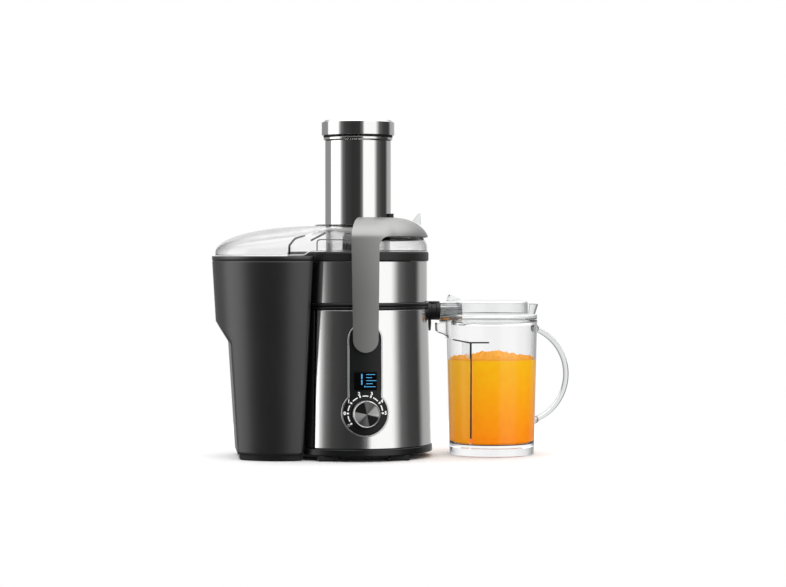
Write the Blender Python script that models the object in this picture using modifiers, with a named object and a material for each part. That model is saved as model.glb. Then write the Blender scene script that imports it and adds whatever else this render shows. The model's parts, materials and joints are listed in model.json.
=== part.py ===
"""Centrifugal juicer: motor base, filter bowl, clear lid with feed chute, pulp bin and juice jug.

The drawing is made about the motor's own vertical axis (the drawing axis), front towards -Y, jug
towards +X, bin towards -X. One empty then moves the whole assembly, so that the finished part has
its origin at the centre of its footprint, on the table.
"""

import math

import bmesh
import bpy
from mathutils import Matrix, Vector

MM = 0.001
PART_NAME = "centrifugal_juicer"

# Facets and clearances
ROUND = 32
SMALL_ROUND = 16
GAP = 0.3
MERGE = 0.00001

# Overall places, in millimetres from the drawing axis
BIN_LEFT = -183.0
HANDLE_RIGHT = 269.0
DIAL_FRONT = -111.0
GLAND_REAR = 103.0

# Motor housing
SHELL_TOP_Z = 184.0
SHELL_BOTTOM_Z = 15.3
SHELL_TOP_R = 88.0
SHELL_BOTTOM_R = 92.0
SHELL_WALL = 1.2
SHELL_SWEEP = 264.0
TRIM_R = 93.2
FOOT_TOP_Z = 6.2
FOOT_PLACES = {"left": -44.0, "right": 44.0}
DECK_Z = 163.0
SEAM_R = 88.5

# Controls
DIAL_Z = 59.0
DIAL_R = 16.4
PANEL_CIRCLE_R = 28.9
PANEL_NECK_HALF = 21.0
RIM_WIDTH = 2.1
WINDOW_HALF = 14.2
WINDOW_LOW_Z = 87.0
WINDOW_HIGH_Z = 109.6

# Locking arm
PIVOT_Z = 148.5
PIN_R = 4.0
ARM_OUTER_R = 88.0
ARM_INNER_R = 46.0
ARM_EDGE_Z = 274.0
ARM_RISE = 24.0
ARM_WALL = 3.5
ARM_DEPTH_SCALE = 97.0 / 88.0
STRAP_TOP_HALF = 17.0
STRAP_END_R = 15.5

# Filter bowl and spout
BOWL_R = 85.3
BOWL_FLOOR_Z = 192.6
BAND_TOP_Z = 243.4
RIM_TOP_Z = 255.6
RIM_R = 88.6
SPOUT_Z = 181.4
SPOUT_R = 11.9
SPOUT_BORE_R = 9.5
NOZZLE_Z = 179.0
NOZZLE_R = 12.0
NOZZLE_BORE_R = 10.0
NOZZLE_START = 103.3
NOZZLE_END = 131.0

# Lid and feed chute
LID_TOP_Z = 287.5
LID_WALL = 2.4
LID_BOWL_R = 87.0
LID_BIN_X = -95.0
LID_BIN_R = 84.0
CHUTE_R = 40.5
CHUTE_BORE_R = 38.3
CHUTE_LOW_Z = 214.0
CHUTE_TOP_Z = 396.0
SLEEVE_R = 41.5
LIP_R = 43.4
LIP_TOP_Z = 400.0

# Pusher
PUSHER_R = 37.6
PUSHER_LOW_Z = 218.0
CAP_R = 45.9
CAP_TOP_Z = 419.5

# Pulp bin
BIN_X = -97.0
BIN_TOP_R = 86.0
BIN_BOTTOM_R = 71.5
BIN_TOP_Z = 250.0
BIN_WALL = 2.5
BIN_HOLLOW_R = 94.2
GRIP_STEP = ((-178.0, 168.0), (-161.5, 142.0), (-152.6, 0.0))

# Jug
JUG_X = 170.0
JUG_BASE_R = 53.5
JUG_TOP_R = 57.6
JUG_TOP_Z = 170.0
JUG_WALL = 2.5
JUG_FLOOR = 14.0            # top of the floor, which stands on an open skirt
JUG_SKIRT_Z = 11.5          # underside of the floor
JUG_SKIRT_R = 50.3
SEPARATOR_X = (136.8, 139.2)
SEPARATOR_HALF = 36.0
SHELF_Z = (141.0, 144.0)
SHELF_RIGHT = 161.0
SCOOP_HALF = 11.0
SCOOP_WALL = 1.8
NOTCH_HALF = 13.2
NOTCH_LOW_Z = 166.2
JUG_LID_LOW_Z = 170.4
JUG_LID_TOP_Z = 194.5
JUG_LID_R = 46.0
HANDLE_WIRE_R = 3.5
HANDLE_LOW_Z = 42.0
HANDLE_HIGH_Z = 158.6
HANDLE_END_X = 224.0

# Motor
CHASSIS_R = 55.0
SHAFT_R = 4.0
SHAFT_BORE_R = 4.3
SHAFT_LOW_Z = 24.0
SHAFT_TOP_Z = 213.0
CORE_LOW_Z = 80.0
CORE_TOP_Z = 120.0

STEEL = ((0.72, 0.72, 0.71), 0.25, 1.0)
SATIN = ((0.55, 0.55, 0.55), 0.35, 1.0)
IRON = ((0.32, 0.32, 0.33), 0.45, 1.0)
COPPER = ((0.62, 0.28, 0.14), 0.35, 1.0)
BLACK = ((0.02, 0.02, 0.02), 0.30, 0.0)
GREY = ((0.05, 0.05, 0.05), 0.55, 0.0)
RUBBER = ((0.03, 0.03, 0.03), 0.80, 0.0)
CLEAR = ((0.85, 0.88, 0.88), 0.05, 0.0)
BOARD = ((0.03, 0.16, 0.07), 0.50, 0.0)
CARBON = ((0.06, 0.06, 0.06), 0.60, 0.0)
BLUE = ((0.10, 0.35, 0.80), 0.20, 0.0)


# ---------------------------------------------------------------- scene and placing

def clear_scene():
    for thing in list(bpy.data.objects):
        bpy.data.objects.remove(thing, do_unlink=True)


def new_collection(name):
    collection = bpy.data.collections.new(name)
    bpy.context.scene.collection.children.link(collection)
    return collection


def new_empty(name, parent=None, at=(0.0, 0.0, 0.0)):
    """An empty at a place in drawing millimetres, which stands for a joint's axis."""
    empty = bpy.data.objects.new(name, None)
    empty.empty_display_size = 0.02
    empty["drawing_place"] = [value * MM for value in at]
    parts.objects.link(empty)
    if parent is not None:
        empty.parent = parent
    empty.location = Vector(at) * MM
    return empty


def dress(thing, finish):
    """Give a piece its own plain material."""
    colour, roughness, metallic = finish
    material = bpy.data.materials.new(thing.name)
    material.use_nodes = True
    shader = material.node_tree.nodes["Principled BSDF"]
    shader.inputs["Base Color"].default_value = (*colour, 1.0)
    shader.inputs["Roughness"].default_value = roughness
    shader.inputs["Metallic"].default_value = metallic
    if finish is CLEAR:
        shader.inputs["Transmission Weight"].default_value = 1.0
    thing.data.materials.clear()
    thing.data.materials.append(material)


def link(thing, collection, parent):
    """Put an object drawn about the drawing axis under its parent empty without moving it."""
    collection.objects.link(thing)
    thing.parent = parent
    offset = Vector(parent.get("drawing_place", (0.0, 0.0, 0.0)))
    if parent is not assembly:
        thing.location -= offset


def as_part(thing, finish, parent=None):
    dress(thing, finish)
    link(thing, parts, parent or assembly)
    return thing


def as_cutter(thing):
    link(thing, cutters, assembly)
    thing.hide_render = True
    thing.display_type = "WIRE"
    return thing


# ---------------------------------------------------------------- basic shapes, in millimetres

def mesh_object(name, bm):
    mesh = bpy.data.meshes.new(name)
    bmesh.ops.recalc_face_normals(bm, faces=bm.faces)
    bm.to_mesh(mesh)
    bm.free()
    return bpy.data.objects.new(name, mesh)


def block(name, low, high):
    """A box between two corners."""
    bm = bmesh.new()
    bmesh.ops.create_cube(bm, size=1.0)
    low = Vector(low) * MM
    high = Vector(high) * MM
    size = high - low
    bmesh.ops.scale(bm, verts=bm.verts, vec=size)
    bmesh.ops.translate(bm, verts=bm.verts, vec=(low + high) / 2)
    return mesh_object(name, bm)


def cone(name, at, low_z, high_z, low_r, high_r, sides=ROUND):
    """A straight or tapered upright cylinder about the vertical line at at=(x, y)."""
    bm = bmesh.new()
    bmesh.ops.create_cone(bm, cap_ends=True, segments=sides, radius1=low_r * MM,
                          radius2=high_r * MM, depth=(high_z - low_z) * MM)
    bmesh.ops.translate(bm, verts=bm.verts, vec=Vector((at[0], at[1], (low_z + high_z) / 2)) * MM)
    return mesh_object(name, bm)


def rod(name, axis, start, end, radius, sides=SMALL_ROUND):
    """A cylinder between two points along X or Y; axis is "X" or "Y"."""
    bm = bmesh.new()
    start = Vector(start) * MM
    end = Vector(end) * MM
    bmesh.ops.create_cone(bm, cap_ends=True, segments=sides, radius1=radius * MM,
                          radius2=radius * MM, depth=(end - start).length)
    turn = Matrix.Rotation(math.radians(90.0), 3, "Y" if axis == "X" else "X")
    bmesh.ops.rotate(bm, verts=bm.verts, cent=(0.0, 0.0, 0.0), matrix=turn)
    bmesh.ops.translate(bm, verts=bm.verts, vec=(start + end) / 2)
    return mesh_object(name, bm)


def turned(name, profile, at=(0.0, 0.0), sides=ROUND, closed=True, sweep=360.0, start=0.0):
    """A turned piece: profile is (radius, z) pairs that run down the outer side.

    A closed profile is a ring's cross-section. An open one starts and ends on the axis, or is a
    surface that a Solidify modifier thickens. start and sweep are angles in degrees about Z.
    """
    bm = bmesh.new()
    verts = [bm.verts.new((radius * MM, 0.0, z * MM)) for radius, z in profile]
    for first, second in zip(verts, verts[1:]):
        bm.edges.new((first, second))
    if closed:
        bm.edges.new((verts[-1], verts[0]))
    mesh = bpy.data.meshes.new(name)
    bm.to_mesh(mesh)
    bm.free()
    piece = bpy.data.objects.new(name, mesh)
    piece.location = (at[0] * MM, at[1] * MM, 0.0)
    piece.rotation_euler.z = math.radians(start)
    screw = piece.modifiers.new("turn", "SCREW")
    screw.angle = math.radians(sweep)
    screw.steps = sides
    screw.render_steps = sides
    screw.use_merge_vertices = True
    screw.merge_threshold = MERGE
    return piece


def ring(name, inner_r, outer_r, low_z, high_z, at=(0.0, 0.0), sides=ROUND):
    """A plain ring with a rectangular cross-section."""
    section = [(inner_r, high_z), (outer_r, high_z), (outer_r, low_z), (inner_r, low_z)]
    return turned(name, section, at=at, sides=sides)


def thicken(piece, wall):
    """Give an open surface its wall, on the inner side."""
    solid = piece.modifiers.new("wall", "SOLIDIFY")
    solid.thickness = wall * MM
    solid.offset = -1.0
    return piece


def prism(name, outline, low_y, high_y, holes=()):
    """A flat outline of (x, z) pairs in millimetres, given depth along Y."""
    curve = bpy.data.curves.new(name + "_outline", "CURVE")
    curve.dimensions = "2D"
    curve.fill_mode = "BOTH"
    curve.extrude = (high_y - low_y) / 2 * MM
    for loop in (outline, *holes):
        spline = curve.splines.new("POLY")
        spline.points.add(len(loop) - 1)
        for point, (x, z) in zip(spline.points, loop):
            point.co = (x * MM, z * MM, 0.0, 1.0)
        spline.use_cyclic_u = True
    guide = bpy.data.objects.new(name + "_guide", curve)
    guide.rotation_euler.x = math.radians(90.0)
    guide.location.y = (low_y + high_y) / 2 * MM
    return curve_to_mesh(name, guide)


def curve_to_mesh(name, guide):
    """A closed mesh of a curve object, in the curve's place; the curve is removed."""
    bpy.context.scene.collection.objects.link(guide)
    bpy.context.view_layer.update()
    evaluated = guide.evaluated_get(bpy.context.evaluated_depsgraph_get())
    mesh = bpy.data.meshes.new_from_object(evaluated)
    mesh.name = name
    bm = bmesh.new()
    bm.from_mesh(mesh)
    bmesh.ops.remove_doubles(bm, verts=bm.verts, dist=MERGE)
    bmesh.ops.recalc_face_normals(bm, faces=bm.faces)
    bm.to_mesh(mesh)
    bm.free()
    piece = bpy.data.objects.new(name, mesh)
    piece.matrix_world = guide.matrix_world.copy()
    bpy.data.objects.remove(guide, do_unlink=True)
    return piece


def boolean(piece, other, operation="DIFFERENCE"):
    """Cut, join or keep the overlap of a piece with a cutter, by the exact solver."""
    cut = piece.modifiers.new(operation.lower(), "BOOLEAN")
    cut.object = other
    cut.operation = operation
    cut.solver = "EXACT"
    return piece


def arc(centre, radius, start, end, count):
    """Points on an arc, angles in degrees, both ends included."""
    points = []
    for index in range(count + 1):
        angle = math.radians(start + (end - start) * index / count)
        points.append((centre[0] + radius * math.cos(angle), centre[1] + radius * math.sin(angle)))
    return points


def shell_radius(z):
    """Outer radius of the steel housing, which widens towards the table."""
    share = (SHELL_TOP_Z - z) / (SHELL_TOP_Z - SHELL_BOTTOM_Z)
    return SHELL_TOP_R + (SHELL_BOTTOM_R - SHELL_TOP_R) * share


# ---------------------------------------------------------------- motor base

def build_feet():
    """Four rubber feet, whose flat undersides stand on the table."""
    for side, x in FOOT_PLACES.items():
        for end, y in (("front", -68.0), ("rear", 68.0)):
            as_part(cone(f"foot_{end}_{side}", (x, y), 0.0, FOOT_TOP_Z, 10.0, 11.5, SMALL_ROUND), RUBBER)


def build_base():
    as_part(cone("base_plate", (0.0, 0.0), FOOT_TOP_Z + GAP, 9.5, 90.0, 90.0), GREY)
    as_part(ring("base_trim_ring", 90.5, TRIM_R, FOOT_TOP_Z + GAP, 15.0), GREY)


def housing_cutters():
    """What passes through the housing: dial stem, display, arm pins, spout and cord inlet."""
    return {
        "stem": as_cutter(rod("stem_hole", "Y", (0.0, -96.0, DIAL_Z), (0.0, -80.0, DIAL_Z), 4.5)),
        "window": as_cutter(block("window_hole", (-15.5, -96.0, 84.0), (15.5, -82.0, 112.5))),
        "pins": as_cutter(rod("pin_holes", "Y", (0.0, -99.0, PIVOT_Z), (0.0, 99.0, PIVOT_Z), 4.4)),
        "spout": as_cutter(rod("spout_hole", "X", (82.75, 0.0, SPOUT_Z), (99.0, 0.0, SPOUT_Z),
                               SPOUT_R + 0.5, ROUND)),
        "inlet": as_cutter(rod("inlet_hole", "Y", (0.0, 84.0, 30.0), (0.0, 99.0, 30.0), 8.4)),
    }


def build_housing(holes):
    """The steel shell wraps the motor; a black column closes the side that faces the bin."""
    line = [(SHELL_TOP_R, SHELL_TOP_Z), (SHELL_BOTTOM_R, SHELL_BOTTOM_Z)]
    half_sweep = SHELL_SWEEP / 2
    shell = turned("motor_shell", line, closed=False, sides=30, sweep=SHELL_SWEEP, start=-half_sweep)
    thicken(shell, SHELL_WALL)
    for hole in holes.values():
        boolean(shell, hole)
    as_part(shell, STEEL)
    column_sweep = 360.0 - SHELL_SWEEP - 1.0
    column = turned("side_column", line, closed=False, sides=12, sweep=column_sweep,
                    start=half_sweep + 0.5)
    as_part(thicken(column, 1.5), GREY)
    deck = [(9.0, DECK_Z + 3.0), (84.3, DECK_Z + 3.0), (84.3, 188.0), (SEAM_R, 188.0),
            (SEAM_R, SHELL_TOP_Z + GAP), (86.0, SHELL_TOP_Z + GAP), (86.0, DECK_Z), (9.0, DECK_Z)]
    as_part(boolean(turned("housing_top", deck), holes["spout"]), BLACK)
    gland = ring("cord_gland", 3.6, 8.0, 0.0, 18.0, sides=SMALL_ROUND)
    gland.rotation_euler.x = math.radians(-90.0)
    gland.location = Vector((0.0, GLAND_REAR - 18.0, 30.0)) * MM
    as_part(gland, BLACK)


def keyhole(neck_half, circle_r, top_r):
    """Outline of the control panel: a circle round the dial and a neck up to the arm's pivot."""
    join = math.degrees(math.acos(neck_half / circle_r))
    outline = arc((0.0, DIAL_Z), circle_r, join, -180.0 - join, 30)
    outline += arc((0.0, PIVOT_Z), top_r, 180.0, 0.0, 12)
    return outline


def panel_skin(name, inner_gap, thickness):
    """A front sector that follows the housing, from which the panel and its rim are cut."""
    section = []
    for extra, heights in ((inner_gap + thickness, (174.0, 26.0)), (inner_gap, (26.0, 174.0))):
        section += [(shell_radius(z) + extra, z) for z in heights]
    return turned(name, section, sides=18, sweep=54.0, start=-117.0)


def build_controls():
    inner = keyhole(PANEL_NECK_HALF - RIM_WIDTH - GAP, PANEL_CIRCLE_R - RIM_WIDTH - GAP,
                    PANEL_NECK_HALF - RIM_WIDTH - GAP)
    hole = keyhole(PANEL_NECK_HALF - RIM_WIDTH, PANEL_CIRCLE_R - RIM_WIDTH, PANEL_NECK_HALF - RIM_WIDTH)
    outer = keyhole(PANEL_NECK_HALF, PANEL_CIRCLE_R, PANEL_NECK_HALF)
    panel = panel_skin("control_panel", 0.5, 1.5)
    boolean(panel, as_cutter(prism("panel_outline", inner, -100.0, -70.0)), "INTERSECT")
    seat = as_cutter(rod("dial_seat", "Y", (0.0, -93.3, DIAL_Z), (0.0, -92.2, DIAL_Z), 19.5, ROUND))
    boolean(panel, seat, "UNION")
    boolean(panel, as_cutter(rod("panel_stem_hole", "Y", (0.0, -96.0, DIAL_Z), (0.0, -88.0, DIAL_Z), 3.6)))
    boolean(panel, as_cutter(block("panel_window", (-WINDOW_HALF, -96.0, WINDOW_LOW_Z),
                                   (WINDOW_HALF, -84.0, WINDOW_HIGH_Z))))
    boolean(panel, as_cutter(rod("panel_pin_hole", "Y", (0.0, -99.0, PIVOT_Z), (0.0, -80.0, PIVOT_Z), 4.6)))
    as_part(panel, BLACK)
    rim = panel_skin("panel_rim", 0.5, 2.0)
    outline = as_cutter(prism("rim_outline", outer, -100.0, -70.0, holes=(hole,)))
    as_part(boolean(rim, outline, "INTERSECT"), STEEL)
    as_part(block("display_lens", (-WINDOW_HALF + GAP, -92.7, WINDOW_LOW_Z + GAP),
                  (WINDOW_HALF - GAP, -88.0, WINDOW_HIGH_Z - GAP)), BLUE)
    as_part(block("display_module", (-14.5, -86.0, 86.0), (14.5, -78.0, 111.0)), BLACK)
    as_part(block("control_board", (-30.0, -74.0, 40.0), (30.0, -72.4, 125.0)), BOARD)
    body = rod("dial_encoder", "Y", (0.0, -84.0, DIAL_Z), (0.0, -74.3, DIAL_Z), 8.0)
    stem = as_cutter(rod("encoder_stem", "Y", (0.0, -104.0, DIAL_Z), (0.0, -80.0, DIAL_Z), 3.0))
    as_part(boolean(body, stem, "UNION"), SATIN)
    as_part(block("interlock_switch", (6.0, -80.0, 141.0), (20.0, -68.0, 155.0)), BLACK)
    bezel = ring("dial_ring", 16.9, 18.9, 0.0, 2.4)
    bezel.rotation_euler.x = math.radians(90.0)
    bezel.location = Vector((0.0, -93.6, DIAL_Z)) * MM
    as_part(bezel, STEEL)


def build_dial(dial_axis):
    """The dial, with its stem socket behind and an indicator dimple in its face."""
    depth = -DIAL_FRONT - 93.9
    profile = [(0.0, depth), (14.6, depth), (DIAL_R, depth - 1.8), (DIAL_R, 0.0), (3.4, 0.0),
               (3.4, 11.0), (0.0, 11.0)]
    dial = turned("speed_dial", profile, closed=False)
    dial.rotation_euler.x = math.radians(90.0)
    dial.location = Vector((0.0, -93.9, DIAL_Z)) * MM
    mark = math.radians(144.0)
    x = 11.0 * math.cos(mark)
    z = DIAL_Z + 11.0 * math.sin(mark)
    boolean(dial, as_cutter(rod("dial_dimple", "Y", (x, -113.0, z), (x, -110.4, z), 1.5, 12)))
    as_part(dial, STEEL, dial_axis)


# ---------------------------------------------------------------- motor

def build_motor():
    wall = CHASSIS_R - 2.7
    cage = [(12.0, 156.0), (CHASSIS_R, 156.0), (CHASSIS_R, 9.8), (wall, 9.8), (wall, 153.0), (12.0, 153.0)]
    as_part(turned("motor_chassis", cage, sides=28), GREY)
    bracket_r = wall - 0.4
    for name, low_z in (("lower", 46.0), ("upper", 138.0)):
        as_part(ring(f"motor_bracket_{name}", 11.3, bracket_r, low_z, low_z + 6.0, sides=28), IRON)
        as_part(ring(f"bearing_{name}", SHAFT_BORE_R, 11.0, low_z, low_z + 6.0, sides=SMALL_ROUND), SATIN)
    as_part(ring("stator_core", 29.0, 46.0, CORE_LOW_Z, CORE_TOP_Z, sides=28), IRON)
    as_part(ring("field_winding_lower", 30.0, 44.0, 68.0, CORE_LOW_Z - GAP, sides=28), COPPER)
    as_part(ring("field_winding_upper", 30.0, 44.0, CORE_TOP_Z + GAP, 132.0, sides=28), COPPER)
    for side, sign in (("left", -1.0), ("right", 1.0)):
        near, far = sorted((sign * 12.6, sign * 24.0))
        as_part(block(f"carbon_brush_{side}", (near, -3.0, 56.0), (far, 3.0, 64.0)), CARBON)
        near, far = sorted((sign * 14.5, sign * 29.0))
        holder = block(f"brush_holder_{side}", (near, -5.5, 53.5), (far, 5.5, 66.5))
        near, far = sorted((sign * 10.0, sign * 27.0))
        boolean(holder, as_cutter(block(f"brush_slot_{side}", (near, -3.3, 55.7), (far, 3.3, 64.3))))
        as_part(holder, BLACK)


def build_spinner(spin_axis):
    """Everything that turns with the motor shaft, from the cooling fan up to the grating disc."""
    shaft = cone("motor_shaft", (0.0, 0.0), SHAFT_LOW_Z, SHAFT_TOP_Z, SHAFT_R, SHAFT_R, SMALL_ROUND)
    as_part(shaft, SATIN, spin_axis)
    pressed = (("rotor_core", 28.0, CORE_LOW_Z, CORE_TOP_Z, IRON), ("commutator", 12.0, 54.0, 66.0, COPPER),
               ("drive_coupling", 12.0, 203.0, 208.7, BLACK))
    for name, outer_r, low_z, high_z, finish in pressed:
        as_part(ring(name, SHAFT_BORE_R, outer_r, low_z, high_z, sides=SMALL_ROUND), finish, spin_axis)
    blades = 9
    outline = []
    for blade in range(blades):
        turn = 360.0 * blade / blades
        outline += arc((0.0, 0.0), 38.0, turn, turn + 8.0, 1)
        outline += arc((0.0, 0.0), 14.0, turn + 22.0, turn + 34.0, 1)
    fan = prism("cooling_fan", outline, -42.0, -28.0, holes=(arc((0.0, 0.0), SHAFT_BORE_R, 0.0, 342.0, 19),))
    fan.matrix_world = Matrix.Translation((0.0, 0.0, 0.0))
    fan.data.transform(Matrix.Translation((0.0, 0.0, 35.0 * MM)))
    as_part(fan, BLACK, spin_axis)
    basket = [(69.4, 253.5), (78.0, 253.5), (78.0, 252.0), (71.0, 252.0), (46.8, 209.0),
              (SHAFT_BORE_R, 209.0), (SHAFT_BORE_R, 210.4), (46.0, 210.4)]
    as_part(turned("filter_basket", basket), STEEL, spin_axis)
    as_part(ring("grater_disc", SHAFT_BORE_R, 44.0, 210.8, 212.2), STEEL, spin_axis)


# ---------------------------------------------------------------- filter bowl and spout

def build_bowl(holes):
    """The bowl that stands on the housing, its steel band, its seam ring and its black rim."""
    wall = BOWL_R - 2.5
    section = [(wall, BAND_TOP_Z - GAP), (BOWL_R, BAND_TOP_Z - GAP), (BOWL_R, BOWL_FLOOR_Z),
               (9.5, BOWL_FLOOR_Z), (9.5, 202.0), (12.0, 202.0), (12.0, 195.1), (wall, 195.1)]
    bowl = turned("filter_bowl", section)
    boolean(bowl, holes["spout"])
    boolean(bowl, as_cutter(block("sump_outside", (58.0, -13.0, 170.0), (82.2, 13.0, 194.0))), "UNION")
    boolean(bowl, as_cutter(block("sump_inside", (60.5, -10.5, 172.0), (80.0, 10.5, 197.0))))
    boolean(bowl, as_cutter(rod("sump_outlet", "X", (70.0, 0.0, SPOUT_Z), (90.0, 0.0, SPOUT_Z),
                                SPOUT_BORE_R - 0.5, ROUND)))
    as_part(bowl, GREY)
    as_part(boolean(ring("seam_ring_upper", 84.3, SEAM_R, 188.3, 192.3), holes["spout"]), BLACK)
    as_part(boolean(ring("bowl_band", BOWL_R + 0.4, 87.0, 192.6, BAND_TOP_Z), holes["spout"]), STEEL)
    as_part(ring("bowl_rim", 83.0, RIM_R, BAND_TOP_Z + GAP, RIM_TOP_Z), BLACK)
    as_part(ring("hub_seal", 4.9, 9.1, 194.0, 201.0, sides=SMALL_ROUND), RUBBER)


def build_spout():
    """A black collar through the housing and a clear nozzle that reaches over the jug."""
    for name, low_x, high_x, z, outer_r, bore_r, finish in (
            ("juice_spout", 82.9, 103.0, SPOUT_Z, SPOUT_R, SPOUT_BORE_R, BLACK),
            ("spout_nozzle", NOZZLE_START, NOZZLE_END, NOZZLE_Z, NOZZLE_R, NOZZLE_BORE_R, CLEAR)):
        tube = rod(name, "X", (low_x, 0.0, z), (high_x, 0.0, z), outer_r, 32)
        bore = rod(name + "_bore", "X", (low_x - 5.0, 0.0, z), (high_x + 5.0, 0.0, z), bore_r, 32)
        as_part(boolean(tube, as_cutter(bore)), finish)


# ---------------------------------------------------------------- lid, chute and pusher

def lid_radius(angle):
    """Plan outline of the lid: the bowl's circle and the bin's circle, with a soft waist."""
    bowl = LID_BOWL_R
    toward = math.cos(angle) * LID_BIN_X
    inside = toward * toward - LID_BIN_X * LID_BIN_X + LID_BIN_R * LID_BIN_R
    if toward <= 0.0 or inside <= 0.0:
        return bowl
    bin_side = toward + math.sqrt(inside)
    blend = 9.0
    return bowl + blend * math.log1p(math.exp((bin_side - bowl) / blend)) * min(1.0, inside / 900.0)


def lid_rings(angle):
    """Points of the lid's surface at one angle, from the chute out and down to the lower edge."""
    edge_r = lid_radius(angle)
    leftness = max(0.0, -math.cos(angle))
    start_r = 41.0 + 14.0 * leftness
    drop = min(1.0, max(0.0, (edge_r - 103.0) / 7.0))
    low_z = RIM_TOP_Z + 0.5 - 5.3 * drop
    crown_z = low_z + 4.0
    points = [(CHUTE_R - 1.1, LID_TOP_Z), (start_r, LID_TOP_Z)]
    for step in (0.4, 0.7, 0.9, 1.0):
        rise = math.sqrt(1.0 - step * step)
        points.append((start_r + (edge_r - start_r) * step, crown_z + (LID_TOP_Z - crown_z) * rise))
    points.append((edge_r, low_z))
    return points


def build_lid():
    """The clear domed lid over bowl and bin, with the feed chute's inner tube through it."""
    bm = bmesh.new()
    count = 36
    columns = []
    for index in range(count):
        angle = 2.0 * math.pi * index / count
        columns.append([bm.verts.new((radius * math.cos(angle) * MM, radius * math.sin(angle) * MM, z * MM))
                        for radius, z in lid_rings(angle)])
    for index in range(count):
        here = columns[index]
        after = columns[(index + 1) % count]
        for level in range(len(here) - 1):
            bm.faces.new((here[level], here[level + 1], after[level + 1], after[level]))
    mesh = bpy.data.meshes.new("juicer_lid")
    bm.to_mesh(mesh)
    bm.free()
    lid = thicken(bpy.data.objects.new("juicer_lid", mesh), LID_WALL)
    tube = as_cutter(ring("chute_tube", CHUTE_BORE_R, CHUTE_R, CHUTE_LOW_Z, CHUTE_TOP_Z))
    as_part(boolean(lid, tube, "UNION"), CLEAR)


def build_sleeve():
    """The steel sleeve over the chute, with its rolled lip."""
    section = [(40.9, LIP_TOP_Z), (LIP_R, LIP_TOP_Z), (LIP_R, 395.0), (SLEEVE_R, 394.0), (SLEEVE_R, 288.0),
               (40.9, 288.0)]
    as_part(turned("chute_sleeve", section), STEEL)


def build_pusher(lift_axis):
    cup = [(0.0, PUSHER_LOW_Z + 3.0), (PUSHER_R - 2.5, PUSHER_LOW_Z + 3.0), (PUSHER_R - 2.5, LIP_TOP_Z),
           (PUSHER_R, LIP_TOP_Z), (PUSHER_R, PUSHER_LOW_Z), (0.0, PUSHER_LOW_Z)]
    as_part(turned("pusher_body", cup, closed=False, sides=32), CLEAR, lift_axis)
    low_z = LIP_TOP_Z + 0.4
    cap = [(0.0, CAP_TOP_Z), (CAP_R - 3.0, CAP_TOP_Z), (CAP_R - 0.8, CAP_TOP_Z - 0.9),
           (CAP_R, CAP_TOP_Z - 3.0), (CAP_R, low_z), (0.0, low_z)]
    as_part(turned("pusher_cap", cap, closed=False), STEEL, lift_axis)


# ---------------------------------------------------------------- locking arm

def arm_outline():
    """What is left of the arm's turned shell from the front: two legs and the top on the right."""
    outline = [(-STRAP_TOP_HALF, 302.0), (-STRAP_TOP_HALF, 270.0)]
    outline += arc((0.0, PIVOT_Z), STRAP_END_R, 180.0, 360.0, 12)
    outline += [(STRAP_TOP_HALF, 262.0), (STRAP_TOP_HALF + 2.0, 269.0), (STRAP_TOP_HALF + 6.0, 273.0),
                (STRAP_TOP_HALF + 13.0, ARM_EDGE_Z + 0.5), (100.0, ARM_EDGE_Z + 0.5), (100.0, 302.0)]
    return outline


def build_arm(arm_axis):
    """The steel locking arm: one leg in front, one behind, and a half dome round the chute."""
    inner_r = ARM_OUTER_R - ARM_WALL
    outer = [(ARM_INNER_R + (ARM_OUTER_R - ARM_INNER_R) * math.sin(math.radians(step)),
              ARM_EDGE_Z + ARM_RISE * math.cos(math.radians(step))) for step in (0, 28, 50, 72, 90)]
    inner = [(ARM_INNER_R + (inner_r - ARM_INNER_R) * math.sin(math.radians(step)),
              ARM_EDGE_Z + (ARM_RISE - ARM_WALL) * math.cos(math.radians(step)))
             for step in (90, 72, 50, 28, 0)]
    section = outer + [(ARM_OUTER_R, 128.0), (inner_r, 128.0)] + inner
    arm = turned("locking_arm", section, sides=36)
    arm.scale.y = ARM_DEPTH_SCALE
    boolean(arm, as_cutter(prism("arm_side_outline", arm_outline(), -110.0, 110.0)), "INTERSECT")
    for end, sign in (("front", -1.0), ("rear", 1.0)):
        near, far = sorted((sign * 90.0, sign * 95.7))
        socket = rod(f"arm_socket_{end}", "Y", (0.0, near, PIVOT_Z), (0.0, far, PIVOT_Z), PIN_R + 0.35)
        boolean(arm, as_cutter(socket))
        near, far = sorted((sign * 80.0, sign * 95.3))
        as_part(rod(f"arm_pin_{end}", "Y", (0.0, near, PIVOT_Z), (0.0, far, PIVOT_Z), PIN_R), SATIN)
    as_part(arm, SATIN, arm_axis)
    tab = prism("arm_tab", [(69.0, 295.2), (79.0, 290.4), (79.0, 303.5), (76.5, 303.5)], -1.5, 1.5)
    as_part(tab, CLEAR, arm_axis)


# ---------------------------------------------------------------- pulp bin

def bin_solid(name, inset, low_z, high_z):
    """The bin's outer form, drawn in by a wall thickness for its cavity."""
    def radius(z):
        return BIN_BOTTOM_R + (BIN_TOP_R - BIN_BOTTOM_R) * z / BIN_TOP_Z - inset
    body = cone(name, (BIN_X, 0.0), low_z, high_z, radius(low_z), radius(high_z), 48)
    hollow = cone(name + "_hollow", (0.0, 0.0), -5.0, BIN_TOP_Z + 5.0, BIN_HOLLOW_R + inset,
                  BIN_HOLLOW_R + inset, 64)
    boolean(body, as_cutter(hollow))
    step = [(x + inset, z) for x, z in GRIP_STEP]
    foot_x = step[-1][0] + 0.6
    outline = [(-200.0, step[0][1]), *step[:2], (foot_x, -10.0), (-200.0, -10.0)]
    return boolean(body, as_cutter(prism(name + "_step", outline, -100.0, 100.0)))


def build_bin(bin_axis):
    body = bin_solid("pulp_bin", 0.0, 0.0, BIN_TOP_Z)
    cavity = as_cutter(bin_solid("bin_cavity", BIN_WALL, BIN_WALL + 0.5, BIN_TOP_Z + 4.0))
    as_part(boolean(body, cavity), GREY, bin_axis)


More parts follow.
